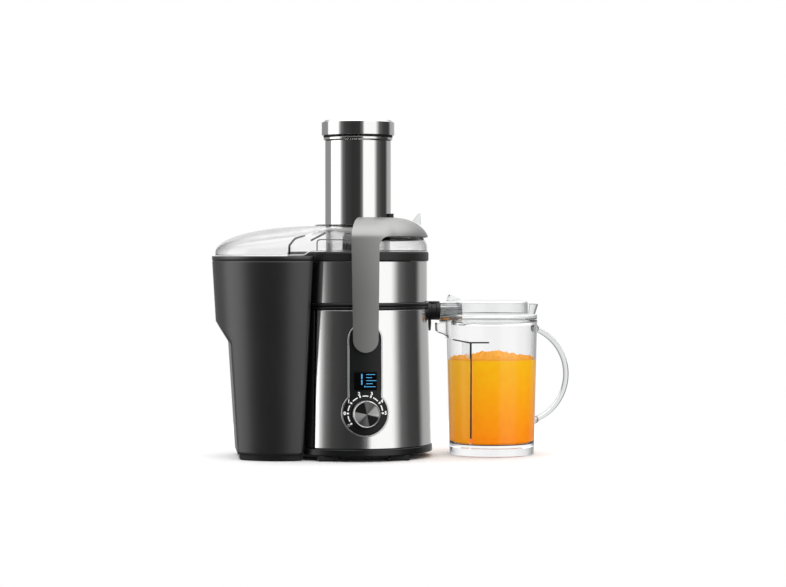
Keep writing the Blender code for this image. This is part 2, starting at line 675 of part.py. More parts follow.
# ---------------------------------------------------------------- jug

def jug_radius(z):
    return JUG_BASE_R + (JUG_TOP_R - JUG_BASE_R) * z / JUG_TOP_Z


def build_jug(jug_axis):
    """The jug with its pouring lip and skirt, its bow handle and the froth separator inside."""
    centre = (JUG_X, 0.0)
    body = cone("jug", centre, JUG_SKIRT_Z, JUG_TOP_Z, jug_radius(JUG_SKIRT_Z), JUG_TOP_R, 48)
    lip_x = JUG_X - JUG_TOP_R - 1.4
    lip = cone("lip_outside", (lip_x, 0.0), 146.0, JUG_TOP_Z, 2.0, 14.0, 24)
    boolean(body, as_cutter(lip), "UNION")
    cavity = cone("jug_cavity", centre, JUG_FLOOR, JUG_TOP_Z + 5.0, jug_radius(JUG_FLOOR) - JUG_WALL,
                  jug_radius(JUG_TOP_Z + 5.0) - JUG_WALL, 48)
    boolean(body, as_cutter(cavity))
    lip_cavity = cone("lip_inside", (lip_x + 1.0, 0.0), 147.0, JUG_TOP_Z + 1.0, 0.6, 12.6, 24)
    boolean(body, as_cutter(lip_cavity))
    notch = block("nozzle_notch", (lip_x - 20.0, -NOTCH_HALF - 2.0, NOTCH_LOW_Z),
                  (lip_x + 12.0, NOTCH_HALF + 2.0, JUG_TOP_Z + 4.0))
    boolean(body, as_cutter(notch))
    as_part(body, CLEAR, jug_axis)

    skirt = cone("jug_skirt", centre, 0.0, JUG_SKIRT_Z, JUG_BASE_R, jug_radius(JUG_SKIRT_Z), 48)
    recess = cone("skirt_recess", centre, -1.0, JUG_SKIRT_Z + 1.0, JUG_SKIRT_R, JUG_SKIRT_R, 48)
    as_part(boolean(skirt, as_cutter(recess)), CLEAR, jug_axis)

    half_chord = (HANDLE_HIGH_Z - HANDLE_LOW_Z) / 2
    reach = HANDLE_RIGHT - HANDLE_WIRE_R - HANDLE_END_X
    bow_r = (half_chord ** 2 + reach ** 2) / (2.0 * reach)
    spread = math.degrees(math.asin(half_chord / bow_r)) + 4.0
    centre_x = HANDLE_RIGHT - HANDLE_WIRE_R - bow_r
    centre_z = (HANDLE_LOW_Z + HANDLE_HIGH_Z) / 2
    curve = bpy.data.curves.new("handle_line", "CURVE")
    curve.dimensions = "3D"
    curve.bevel_depth = HANDLE_WIRE_R * MM
    curve.bevel_resolution = 2
    curve.use_fill_caps = True
    spline = curve.splines.new("POLY")
    route = arc((centre_x, centre_z), bow_r, -spread, spread, 18)
    spline.points.add(len(route) - 1)
    for point, (x, z) in zip(spline.points, route):
        point.co = (x * MM, 0.0, z * MM, 1.0)
    handle = curve_to_mesh("jug_handle", bpy.data.objects.new("handle_guide", curve))
    room = cone("handle_room", centre, -1.0, JUG_TOP_Z, JUG_BASE_R + GAP, JUG_TOP_R + GAP, 64)
    as_part(boolean(handle, as_cutter(room)), CLEAR, jug_axis)

    near, far = SEPARATOR_X
    plate = block("froth_separator", (near, -SEPARATOR_HALF, 24.0), (far, SEPARATOR_HALF, SHELF_Z[1] - 1.0))
    shelf_r = jug_radius(SHELF_Z[0]) - JUG_WALL - 1.2
    shelf = cone("separator_shelf", centre, *SHELF_Z, shelf_r, shelf_r, 48)
    boolean(shelf, as_cutter(block("shelf_trim", (SHELF_RIGHT, -60.0, 135.0), (230.0, 60.0, 150.0))))
    boolean(shelf, as_cutter(cone("shelf_opening", (126.0, 0.0), 135.0, 150.0, 9.0, 9.0, 24)))
    as_part(boolean(plate, as_cutter(shelf), "UNION"), CLEAR, jug_axis)


def build_jug_lid(lid_axis):
    """The jug's lid, raised over the nozzle, with a splash guard and a flared pouring scoop."""
    section = [(0.0, JUG_LID_TOP_Z), (JUG_LID_R - 5.0, JUG_LID_TOP_Z), (JUG_LID_R - 1.2, JUG_LID_TOP_Z - 2.0),
               (JUG_LID_R, JUG_LID_TOP_Z - 6.0), (JUG_LID_R, 177.0), (JUG_TOP_R - 2.0, 174.5),
               (JUG_TOP_R, 172.5), (JUG_TOP_R, JUG_LID_LOW_Z), (JUG_TOP_R - 3.5, JUG_LID_LOW_Z),
               (JUG_TOP_R - 3.5, 172.0), (JUG_LID_R - 2.2, 175.0), (JUG_LID_R - 2.2, JUG_LID_TOP_Z - 6.5),
               (JUG_LID_R - 6.0, JUG_LID_TOP_Z - 2.3), (0.0, JUG_LID_TOP_Z - 2.3)]
    lid = turned("jug_lid", section, at=(JUG_X, 0.0), closed=False)
    boolean(lid, as_cutter(block("lid_notch", (100.0, -NOTCH_HALF, 160.0), (134.0, NOTCH_HALF, 191.6))))
    guard_outline = [(113.0, 201.6), (125.0, 192.5), (130.0, 192.5), (130.0, 194.0), (116.0, 201.6)]
    guard = prism("splash_guard", guard_outline, -12.0, 12.0)
    boolean(lid, as_cutter(guard), "UNION")
    scoop = prism("pouring_scoop", [(214.0, 171.8), (225.6, 171.8), (230.0, 189.0), (214.0, 189.0)],
                  -SCOOP_HALF, SCOOP_HALF)
    hollow = prism("scoop_hollow", [(205.0, 174.4), (224.2, 174.4), (229.5, 195.0), (205.0, 195.0)],
                   SCOOP_WALL - SCOOP_HALF, SCOOP_HALF - SCOOP_WALL)
    boolean(scoop, as_cutter(hollow))
    boolean(lid, as_cutter(scoop), "UNION")
    as_part(lid, CLEAR, lid_axis)


# ---------------------------------------------------------------- assembly

clear_scene()
parts = new_collection(PART_NAME)
cutters = new_collection("cutters")
assembly = new_empty("assembly")


def main():
    spin_axis = new_empty("spin_axis", assembly)
    dial_axis = new_empty("dial_axis", assembly, (0.0, DIAL_FRONT, DIAL_Z))
    arm_axis = new_empty("arm_axis", assembly, (0.0, 0.0, PIVOT_Z))
    pusher_axis = new_empty("pusher_axis", assembly, (0.0, 0.0, PUSHER_LOW_Z))
    bin_axis = new_empty("bin_axis", assembly, (BIN_X, 0.0, 0.0))
    jug_axis = new_empty("jug_axis", assembly, (JUG_X, 0.0, 0.0))
    jug_lid_axis = new_empty("jug_lid_axis", assembly, (JUG_X, 0.0, JUG_LID_LOW_Z))
    holes = housing_cutters()
    build_feet()
    build_base()
    build_housing(holes)
    build_controls()
    build_dial(dial_axis)
    build_motor()
    build_spinner(spin_axis)
    build_bowl(holes)
    build_spout()
    build_lid()
    build_sleeve()
    build_pusher(pusher_axis)
    build_arm(arm_axis)
    build_bin(bin_axis)
    build_jug(jug_axis)
    build_jug_lid(jug_lid_axis)
    middle = Vector((BIN_LEFT + HANDLE_RIGHT, DIAL_FRONT + GLAND_REAR, 0.0)) * MM / 2
    assembly.location = -middle


main()
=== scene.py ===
"""Looks of the centrifugal juicer: fine shells, clear plastics, brushed steel and the studio."""

import json
import logging
import math
from dataclasses import dataclass
from enum import Enum
from typing import Callable, Optional, Sequence

import bmesh
import bpy
from mathutils import Matrix, Vector, noise

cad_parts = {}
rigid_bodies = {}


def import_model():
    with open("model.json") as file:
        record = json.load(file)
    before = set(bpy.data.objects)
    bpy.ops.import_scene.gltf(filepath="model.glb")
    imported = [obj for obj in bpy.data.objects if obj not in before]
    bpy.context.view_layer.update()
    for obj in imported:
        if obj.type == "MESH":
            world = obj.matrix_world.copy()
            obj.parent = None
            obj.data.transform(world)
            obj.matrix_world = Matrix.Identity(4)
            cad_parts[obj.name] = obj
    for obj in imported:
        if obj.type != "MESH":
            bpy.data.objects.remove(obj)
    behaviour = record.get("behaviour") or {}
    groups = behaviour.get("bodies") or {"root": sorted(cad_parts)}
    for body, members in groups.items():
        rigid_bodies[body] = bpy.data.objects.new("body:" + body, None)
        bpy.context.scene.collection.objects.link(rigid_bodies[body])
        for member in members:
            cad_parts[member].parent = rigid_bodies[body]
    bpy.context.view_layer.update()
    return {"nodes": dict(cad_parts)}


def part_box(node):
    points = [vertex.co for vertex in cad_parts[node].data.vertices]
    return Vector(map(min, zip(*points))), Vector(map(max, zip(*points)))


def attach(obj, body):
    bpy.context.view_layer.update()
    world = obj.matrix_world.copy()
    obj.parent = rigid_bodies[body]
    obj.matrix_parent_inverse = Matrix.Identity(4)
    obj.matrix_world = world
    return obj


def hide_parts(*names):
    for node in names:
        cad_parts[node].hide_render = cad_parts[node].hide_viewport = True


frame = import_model()

log = logging.getLogger("juicer")

MM = 0.001
FULL_TURN = 2.0 * math.pi
Corner = tuple[float, float, float]
Point = tuple[float, float]


class Body(Enum):
    """The moving bodies that pieces ride on."""

    BASE = "motor_base"
    SPINNER = "spinner"
    DIAL = "dial"
    ARM = "arm"
    PUSHER = "pusher"
    BIN = "bin"
    JUG = "jug_body"
    JUG_COVER = "jug_cover"


def drawing_axis() -> Vector:
    """Where the motor's vertical axis meets the table: the middle of the bowl's rim."""
    low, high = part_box("bowl_rim")
    return Vector(((low.x + high.x) / 2, (low.y + high.y) / 2, 0.0))


AXIS = drawing_axis()


def at(x: float, y: float, z: float) -> Vector:
    """A place in the frame from millimetres about the motor's axis."""
    return AXIS + Vector((x, y, z)) * MM


# ---------------------------------------------------------------- materials

def linear(code: str) -> tuple[float, float, float, float]:
    """Turn an sRGB hex colour into linear values.

    Args:
        code: Six hex digits with a leading hash.

    Returns:
        Red, green, blue and a full alpha.
    """
    values = []
    for start in (1, 3, 5):
        value = int(code[start:start + 2], 16) / 255.0
        values.append(value / 12.92 if value <= 0.04045 else ((value + 0.055) / 1.055) ** 2.4)
    return (*values, 1.0)


def add_node(tree: bpy.types.NodeTree, kind: str, settings: Optional[dict] = None,
             links: Optional[dict] = None) -> bpy.types.Node:
    """Add one shader node.

    Args:
        tree: The node tree that receives it.
        kind: The node's type name without its "ShaderNode" start.
        settings: Attribute names, or input sockets by name or index, and their values.
        links: Input sockets by name or index, and the output sockets that feed them.

    Returns:
        The new node.
    """
    node = tree.nodes.new("ShaderNode" + kind)
    for key, value in (settings or {}).items():
        if isinstance(key, str) and hasattr(node, key):
            setattr(node, key, value)
        else:
            node.inputs[key].default_value = value
    for key, source in (links or {}).items():
        tree.links.new(source, node.inputs[key])
    return node


def fresh_material(name: str) -> tuple[bpy.types.Material, bpy.types.NodeTree, bpy.types.Node]:
    """Make an empty node material.

    Args:
        name: The material's name.

    Returns:
        The material, its tree and its Principled node.
    """
    material = bpy.data.materials.new(name)
    material.use_nodes = True
    tree = material.node_tree
    tree.nodes.clear()
    shader = add_node(tree, "BsdfPrincipled")
    add_node(tree, "OutputMaterial", links={"Surface": shader.outputs["BSDF"]})
    return material, tree, shader


def grain(tree: bpy.types.NodeTree, pitch_mm: tuple[float, float, float],
          detail: float = 3.0) -> bpy.types.Node:
    """Noise whose spots have a real size along each axis.

    Args:
        tree: The node tree.
        pitch_mm: Length of one spot along X, Y and Z, in millimetres.
        detail: Octaves of finer noise.

    Returns:
        The noise node.
    """
    place = add_node(tree, "TexCoord")
    stretch = tuple(1.0 / (pitch * MM) for pitch in pitch_mm)
    mapping = add_node(tree, "Mapping", {"Scale": stretch}, {"Vector": place.outputs["Object"]})
    return add_node(tree, "TexNoise", {"Scale": 1.0, "Detail": detail, "Roughness": 0.6},
                    {"Vector": mapping.outputs["Vector"]})


def span(tree: bpy.types.NodeTree, source: bpy.types.NodeSocket, low: float, high: float) -> bpy.types.Node:
    """Map a 0.3 to 0.7 noise value to a working range, clamped."""
    return add_node(tree, "MapRange", {"From Min": 0.3, "From Max": 0.7, "To Min": low, "To Max": high},
                    {"Value": source})


@dataclass(frozen=True)
class Metal:
    """A metal with a directional grind or a cast skin."""

    name: str
    colour: str
    roughness: float
    pitch_mm: tuple[float, float, float]
    spread: float = 0.04
    bump_mm: float = 0.004

    def material(self) -> bpy.types.Material:
        """Build the material."""
        material, tree, shader = fresh_material(self.name)
        noise = grain(tree, self.pitch_mm)
        rough = span(tree, noise.outputs["Fac"], self.roughness - self.spread, self.roughness + self.spread)
        shader.inputs["Base Color"].default_value = linear(self.colour)
        shader.inputs["Metallic"].default_value = 1.0
        tree.links.new(rough.outputs["Result"], shader.inputs["Roughness"])
        bump = add_node(tree, "Bump", {"Strength": 0.35, "Distance": self.bump_mm * MM},
                        {"Height": noise.outputs["Fac"]})
        tree.links.new(bump.outputs["Normal"], shader.inputs["Normal"])
        return material


@dataclass(frozen=True)
class SectorTurned:
    """A turned aluminium face whose bright, middle and dark sectors, twice round, are painted reflection
    wedges in its base colour.
    """

    name: str
    tones: tuple[str, str, str]
    roughness: float
    centre_mm: float
    first_deg: float = -16.0

    def material(self) -> bpy.types.Material:
        """Build the material."""
        material, tree, shader = fresh_material(self.name)
        place = add_node(tree, "TexCoord")
        split = add_node(tree, "SeparateXYZ", links={0: place.outputs["Object"]})
        across = add_node(tree, "Math", {"operation": "SUBTRACT", 1: AXIS.x}, {0: split.outputs["X"]})
        up = add_node(tree, "Math", {"operation": "SUBTRACT", 1: self.centre_mm * MM},
                      {0: split.outputs["Z"]})
        turn = add_node(tree, "Math", {"operation": "ARCTAN2"}, {0: up.outputs[0], 1: across.outputs[0]})
        share = add_node(tree, "Math", {"operation": "MULTIPLY_ADD", 1: 1.0 / math.pi,
                                        2: 2.0 - self.first_deg / 180.0},
                         {0: turn.outputs[0]})
        sector = add_node(tree, "Math", {"operation": "FRACT"}, {0: share.outputs[0]})
        # The three tones are painted reflection wedges: the bright and dark sectors stand in for studio
        # panels mirrored in the turned rings.
        ramp = add_node(tree, "ValToRGB", links={0: sector.outputs[0]})
        bright, middle, dark = (linear(tone) for tone in self.tones)
        stops = ramp.color_ramp.elements
        for position, tone in ((0.0, dark), (0.05, bright), (0.30, bright), (0.37, middle), (0.62, middle),
                               (0.68, dark), (0.93, dark)):
            stop = stops[0] if position == 0.0 else stops.new(position)
            stop.color = tone
        stops[len(stops) - 1].color = dark
        tree.links.new(ramp.outputs["Color"], shader.inputs["Base Color"])
        shader.inputs["Metallic"].default_value = 1.0
        shader.inputs["Roughness"].default_value = self.roughness
        shader.inputs["Anisotropic"].default_value = 1.0
        tangent = add_node(tree, "Tangent", {"direction_type": "RADIAL", "axis": "Y"})
        tree.links.new(tangent.outputs["Tangent"], shader.inputs["Tangent"])
        return material


@dataclass(frozen=True)
class Moulding:
    """A coloured plastic or rubber, with a spark-eroded grain and a faint change of shade."""

    name: str
    colour: str
    shade: str
    roughness: float
    grain_mm: float = 0.6
    bump_mm: float = 0.02
    coat: float = 0.0
    glow: float = 0.0
    shine: float = 0.5

    def material(self) -> bpy.types.Material:
        """Build the material."""
        material, tree, shader = fresh_material(self.name)
        fine = grain(tree, (self.grain_mm,) * 3, 2.0)
        broad = grain(tree, (45.0, 45.0, 60.0), 1.0)
        shade = span(tree, broad.outputs["Fac"], 0.0, 1.0)
        colour = add_node(tree, "Mix", {"data_type": "RGBA"}, {0: shade.outputs["Result"]})
        colour.inputs[6].default_value = linear(self.colour)
        colour.inputs[7].default_value = linear(self.shade)
        rough = span(tree, fine.outputs["Fac"], self.roughness - 0.05, self.roughness + 0.05)
        bump = add_node(tree, "Bump", {"Strength": 0.5, "Distance": self.bump_mm * MM},
                        {"Height": fine.outputs["Fac"]})
        tree.links.new(colour.outputs[2], shader.inputs["Base Color"])
        tree.links.new(rough.outputs["Result"], shader.inputs["Roughness"])
        tree.links.new(bump.outputs["Normal"], shader.inputs["Normal"])
        shader.inputs["Coat Weight"].default_value = self.coat
        shader.inputs["Specular IOR Level"].default_value = self.shine
        if self.glow:
            shader.inputs["Emission Color"].default_value = linear(self.colour)
            shader.inputs["Emission Strength"].default_value = self.glow
        return material


@dataclass(frozen=True)
class ClearPlastic:
    """A clear moulding: slight waviness, and darker where the wall is seen along its length, partly a tint of
    the light passing through it and partly painted shade for the dark outlines that refraction shows.
    """

    name: str
    colour: str
    edge_colour: str
    roughness: float
    ior: float = 1.45
    wave_mm: float = 18.0
    bump_mm: float = 0.03
    edge_power: float = 4.0

    def material(self) -> bpy.types.Material:
        """Build the material."""
        material, tree, shader = fresh_material(self.name)
        wave = grain(tree, (self.wave_mm,) * 3, 1.0)
        rough = span(tree, wave.outputs["Fac"], self.roughness * 0.7, self.roughness * 1.3)
        bump = add_node(tree, "Bump", {"Strength": 0.4, "Distance": self.bump_mm * MM},
                        {"Height": wave.outputs["Fac"]})
        # Darkening by facing: partly a through-wall tint, partly painted shade for dark refracted outlines.
        facing = add_node(tree, "LayerWeight", {"Blend": 0.5})
        steep = add_node(tree, "Math", {"operation": "POWER", 1: self.edge_power},
                         {0: facing.outputs["Facing"]})
        tint = add_node(tree, "Mix", {"data_type": "RGBA"}, {0: steep.outputs[0]})
        tint.inputs[6].default_value = linear(self.colour)
        tint.inputs[7].default_value = linear(self.edge_colour)
        tree.links.new(tint.outputs[2], shader.inputs["Base Color"])
        shader.inputs["IOR"].default_value = self.ior
        shader.inputs["Transmission Weight"].default_value = 1.0
        tree.links.new(rough.outputs["Result"], shader.inputs["Roughness"])
        tree.links.new(bump.outputs["Normal"], shader.inputs["Normal"])
        return material


@dataclass(frozen=True)
class Juice:
    """Pressed fruit juice or its froth: pulp specks in a cloudy liquid, with a painted glow in its own colour
    that brightens it beyond its lighting.
    """

    name: str
    top: str
    bottom: str
    low_mm: float
    high_mm: float
    speck_mm: float
    bump_mm: float

    def material(self) -> bpy.types.Material:
        """Build the material, whose colour deepens towards the jug's floor."""
        material, tree, shader = fresh_material(self.name)
        place = add_node(tree, "TexCoord")
        split = add_node(tree, "SeparateXYZ", links={0: place.outputs["Object"]})
        height = add_node(tree, "MapRange", {"From Min": self.low_mm * MM, "From Max": self.high_mm * MM},
                          {"Value": split.outputs["Z"]})
        specks = grain(tree, (self.speck_mm,) * 3, 4.0)
        drift = add_node(tree, "Math", {"operation": "MULTIPLY_ADD", 1: 0.5, 2: -0.25},
                         {0: specks.outputs["Fac"]})
        level = add_node(tree, "Math", {"operation": "ADD", "use_clamp": True},
                         {0: height.outputs["Result"], 1: drift.outputs[0]})
        colour = add_node(tree, "Mix", {"data_type": "RGBA"}, {0: level.outputs[0]})
        colour.inputs[6].default_value = linear(self.bottom)
        colour.inputs[7].default_value = linear(self.top)
        bump = add_node(tree, "Bump", {"Strength": 0.6, "Distance": self.bump_mm * MM},
                        {"Height": specks.outputs["Fac"]})
        tree.links.new(colour.outputs[2], shader.inputs["Base Color"])
        tree.links.new(bump.outputs["Normal"], shader.inputs["Normal"])
        shader.inputs["Roughness"].default_value = 0.5
        shader.inputs["Specular IOR Level"].default_value = 0.1
        # Painted glow: the juice's own colour given out as light, to brighten it.
        shader.inputs["Emission Strength"].default_value = 0.45
        tree.links.new(colour.outputs[2], shader.inputs["Emission Color"])
        return material


# Grade 430 stainless sheet, ground lengthwise: mirror-like bands with soft edges.
BRUSHED_SHELL = Metal("brushed_stainless_sheet", "#E8E8E7", 0.15, (0.5, 0.5, 60.0), 0.05)
# Stainless tube, finer grind and polish: crisper bands than the shell.
POLISHED_TUBE = Metal("polished_stainless_tube", "#E8E8E7", 0.07, (0.4, 0.4, 50.0), 0.02, 0.003)
# Spun stainless trim, buffed: small bright lines.
BUFFED_TRIM = Metal("buffed_stainless_trim", "#ECECEB", 0.32, (1.0, 1.0, 1.0), 0.04)
# Aluminium face turned in fine rings, with three painted reflection tones as wedges that meet at the centre.
TURNED_FACE_PAINTED_WEDGES = SectorTurned("turned_aluminium_painted_reflection_wedges", ("#F6F6F5", "#8E8E8D", "#2E2E2E"), 0.34, 59.0)
# Satin stainless pressing, bead blasted and brushed: broad soft shine.
SATIN_PRESSING = Metal("satin_stainless_pressing", "#A6A6A5", 0.43, (0.4, 0.4, 18.0), 0.06, 0.012)
# Ground bearing steel.
GROUND_STEEL = Metal("ground_bearing_steel", "#B8B8B8", 0.22, (0.6, 0.6, 3.0), 0.05)
# Stacked silicon-steel sheets: dull, with fine lines across the stack.
LAMINATED_IRON = Metal("laminated_silicon_steel", "#6E6F72", 0.42, (6.0, 6.0, 0.7), 0.08, 0.03)
# Enamelled copper wire, wound in layers.
WOUND_COPPER = Metal("enamelled_copper_winding", "#B4663A", 0.34, (4.0, 4.0, 0.6), 0.08, 0.08)
# ABS with an eroded mould texture: charcoal with a dull sheen.
CHARCOAL_ABS = Moulding("eroded_charcoal_abs", "#212121", "#262626", 0.42, 0.7, 0.02)
# Black ABS, semi-gloss from a polished mould.
BLACK_ABS = Moulding("satin_black_abs", "#121213", "#171819", 0.30, 0.8, 0.006)
# Black ABS darkened below the other black mouldings to paint the shade that the column beside the bin lies
# in.
PAINTED_SHADE_BLACK_ABS = Moulding("matt_black_abs_painted_shade", "#0B0B0C", "#101011", 0.42, 0.8, 0.01)
# Printed acrylic panel: deep black, faint sheen.
PANEL_BLACK = Moulding("printed_black_acrylic", "#121314", "#161718", 0.40, 1.0, 0.004, shine=0.3)
# Smoked acrylic window over the display.
WINDOW_BLACK = Moulding("smoked_acrylic_window", "#010102", "#020203", 0.16, 2.0, 0.001, shine=0.15)
# White pad-printed ink, with a faint painted glow that brightens it beyond its lighting.
WHITE_INK_PAINTED_GLOW = Moulding("white_pad_print_painted_glow", "#F4F4F4", "#ECECEC", 0.5, 0.5, 0.004, 0.0, 0.25)
# Blue light-emitting segments behind the window.
BLUE_LIGHT = Moulding("blue_display_segment", "#4FA6DC", "#4298D0", 0.4, 0.5, 0.004, 0.0, 0.5)
# Moulded thermoplastic rubber.
SOFT_RUBBER = Moulding("moulded_black_rubber", "#151515", "#1C1C1C", 0.65, 0.6, 0.02)
# Pressed carbon brush.
PRESSED_CARBON = Moulding("pressed_carbon", "#17171A", "#202024", 0.5, 0.3, 0.02)
# Green solder mask on glass-epoxy board.
SOLDER_MASK = Moulding("green_solder_mask", "#155C2C", "#1B6A35", 0.35, 1.2, 0.01, 0.3)
# Drawn stainless cap, polished like the tube.
CAST_CAP = Metal("polished_stainless_cap", "#E6E6E5", 0.08, (0.5, 0.5, 6.0), 0.02, 0.003)
# Polypropylene bin, dark grey, with a fine spark-eroded texture.
TEXTURED_BIN = Moulding("eroded_grey_polypropylene", "#1B1B1B", "#1F1F1F", 0.37, 0.8, 0.025, shine=1.0)
# Smoked polycarbonate for the baffle, nearly black when seen on its edge; also used for painted shade lines
# at the jug's floor seat and the separator's front edge.
SMOKED_RIB_AND_SHADE_LINE = Moulding("smoked_polycarbonate_and_painted_shade_line", "#101114", "#15161A", 0.18, 1.2, 0.004)
# Matt white studio paper.
STUDIO_PAPER = Moulding("white_studio_paper", "#FCFCFC", "#FAFAFA", 0.9, 1.5, 0.01, shine=0.0)
# Injection-moulded polycarbonate: water-clear with a faint grey cast.
CLEAR_LID = ClearPlastic("clear_polycarbonate_lid", "#FAFAFA", "#5A5C5D", 0.03)
# Injection-moulded SAN jug: clear with bright edges.
CLEAR_JUG = ClearPlastic("clear_san_jug", "#FDFDFD", "#3A3C3D", 0.01, 1.30, 26.0, 0.012)
# The jug's lid, of the same plastic with tighter bends that hold more shadow.
CLEAR_COVER = ClearPlastic("clear_san_cover", "#F8F9F9", "#0C0D0E", 0.01, 1.32, 26.0, 0.012, 3.2)
# Thick clear rod, bent from the same plastic: long light paths tint its outline, and a near-black painted
# shade darkens it further.
CLEAR_ROD = ClearPlastic("bent_clear_rod", "#E6E8E8", "#0C0D0E", 0.02, 1.30, 26.0, 0.01, 1.8)
# Thin clear sheet, which shows no dark outline.
CLEAR_SHEET = ClearPlastic("thin_clear_sheet", "#FEFEFE", "#E4E6E6", 0.0, 1.10, 26.0, 0.0)
# Smoke-tinted clear nozzle.
SMOKED_NOZZLE = ClearPlastic("smoked_clear_nozzle", "#B9BBBC", "#1A1B1C", 0.06)
# Fresh orange juice with suspended pulp.
ORANGE_JUICE = Juice("fresh_orange_juice", "#F3B510", "#F58409", 14.0, 122.0, 9.0, 0.03)
# Thinner juice behind the froth separator.
THIN_JUICE = Juice("thin_orange_juice", "#F6B62E", "#F4981E", 14.0, 122.0, 9.0, 0.03)
# Froth of small bubbles over the juice.
JUICE_FROTH = Juice("orange_froth", "#F3B04A", "#EE9A1E", 116.0, 131.0, 1.8, 0.6)


# ---------------------------------------------------------------- mesh work

def fillet(corners: Sequence[Corner], closed: bool, steps: int = 5) -> list[Point]:
    """Round the corners of an outline, with a support point on each side to keep flats flat in shading.

    Args:
        corners: (across, up, radius) for each corner, in millimetres.
        closed: Whether the last corner joins the first.
        steps: Straight pieces in each rounded corner.

    Returns:
        The outline's points in millimetres.
    """
    points: list[Point] = []
    count = len(corners)
    for index, (across, up, radius) in enumerate(corners):
        end = not closed and index in (0, count - 1)
        if radius <= 0.0 or end:
            points.append((across, up))
            continue
        here = Vector((across, up))
        before = Vector(corners[index - 1][:2]) - here
        after = Vector(corners[(index + 1) % count][:2]) - here
        half = before.angle(after) / 2.0
        setback = min(radius / math.tan(half), before.length * 0.46, after.length * 0.46)
        first = here + before.normalized() * setback
        last = here + after.normalized() * setback
        support = min(0.25, before.length * 0.03, after.length * 0.03)
        points.append(tuple(first + before.normalized() * support))
        for step in range(steps + 1):
            share = step / steps
            curve = first.lerp(here, share).lerp(here.lerp(last, share), share)
            points.append((curve.x, curve.y))
        points.append(tuple(last + after.normalized() * support))
    return points


def arc(centre: Point, radius: float, start: float, end: float, steps: int) -> list[Point]:
    """Points on an arc in millimetres, angles in degrees, both ends included."""
    turns = [math.radians(start + (end - start) * step / steps) for step in range(steps + 1)]
    return [(centre[0] + radius * math.cos(turn), centre[1] + radius * math.sin(turn)) for turn in turns]


def lathe(profile: Sequence[Point], closed: bool, centre: Point = (0.0, 0.0), segments: int = 120,
          sweep: float = 360.0, start: float = 0.0) -> bmesh.types.BMesh:
    """Turn a profile about an upright line.

    Args:
        profile: (radius, height) points in millimetres.
        closed: Whether the profile is a ring's whole cross-section.
        centre: The line's place about the motor's axis, in millimetres.
        segments: Steps in the turn.
        sweep: Angle turned through, in degrees.
        start: Angle at which the turn starts, from +X.

    Returns:
        The turned mesh, in the frame.
    """
    bm = bmesh.new()
    middle = at(centre[0], centre[1], 0.0)
    verts = [bm.verts.new(middle + Vector((radius, 0.0, height)) * MM) for radius, height in profile]
    pairs = list(zip(verts, verts[1:])) + ([(verts[-1], verts[0])] if closed else [])
    edges = [bm.edges.new(pair) for pair in pairs]
    turn = Matrix.Rotation(math.radians(start), 3, "Z")
    bmesh.ops.rotate(bm, verts=verts, cent=middle, matrix=turn)
    bmesh.ops.spin(bm, geom=verts + edges, cent=middle, axis=(0.0, 0.0, 1.0), dvec=(0.0, 0.0, 0.0),
                   angle=math.radians(sweep), steps=segments, use_merge=sweep >= 360.0, use_duplicate=False)
    bmesh.ops.remove_doubles(bm, verts=bm.verts, dist=1e-7)
    bmesh.ops.recalc_face_normals(bm, faces=bm.faces)
    return bm


def facing_front(bm: bmesh.types.BMesh, centre: tuple[float, float, float]) -> bmesh.types.BMesh:
    """Lay a piece turned about the motor's axis on its side, nose to the front, at a place in mm."""
    turn = Matrix.Rotation(math.radians(90.0), 4, "X")
    move = Matrix.Translation(at(*centre)) @ turn @ Matrix.Translation(-AXIS)
    bmesh.ops.transform(bm, matrix=move, verts=bm.verts)
    return bm


def facing_right(bm: bmesh.types.BMesh, centre: tuple[float, float, float]) -> bmesh.types.BMesh:
    """Lay a piece turned about the motor's axis on its side, nose to the right, at a place in mm."""
    turn = Matrix.Rotation(math.radians(90.0), 4, "Y")
    move = Matrix.Translation(at(*centre)) @ turn @ Matrix.Translation(-AXIS)
    bmesh.ops.transform(bm, matrix=move, verts=bm.verts)
    return bm


def warped(across: int, along: int, place: Callable[[float, float], Vector],
           merge: float = 1e-6) -> bmesh.types.BMesh:
    """Bend a grid into a surface.

    Args:
        across: Cells in the first direction.
        along: Cells in the second direction.
        place: Gives a point of the frame for two shares from 0 to 1.
        merge: Points nearer than this become one, so seams and poles close.

    Returns:
        The bent grid.
    """
    bm = bmesh.new()
    bmesh.ops.create_grid(bm, x_segments=across, y_segments=along, size=0.5)
    for vert in bm.verts:
        vert.co = place(min(1.0, max(0.0, vert.co.x + 0.5)), min(1.0, max(0.0, vert.co.y + 0.5)))
    bmesh.ops.remove_doubles(bm, verts=bm.verts, dist=merge)
    bmesh.ops.recalc_face_normals(bm, faces=bm.faces)
    return bm


def soft_box(low: tuple[float, float, float], high: tuple[float, float, float], edge: float,
             segments: int = 3) -> bmesh.types.BMesh:
    """A box between two corners in millimetres, with rounded edges.

    Args:
        low: The corner with the lowest coordinates.
        high: The corner with the highest coordinates.
        edge: Radius of the edges in millimetres, or 0 for sharp ones.
        segments: Steps round an edge.

    Returns:
        The box.
    """
    bm = bmesh.new()
    bmesh.ops.create_cube(bm, size=1.0)
    first = at(*low)
    last = at(*high)
    bmesh.ops.scale(bm, verts=bm.verts, vec=last - first)
    bmesh.ops.translate(bm, verts=bm.verts, vec=(first + last) / 2)
    if edge > 0.0:
        bmesh.ops.bevel(bm, geom=bm.edges[:], offset=edge * MM, offset_type="OFFSET", affect="EDGES",
                        segments=segments, profile=0.5, material=-1)
    return bm


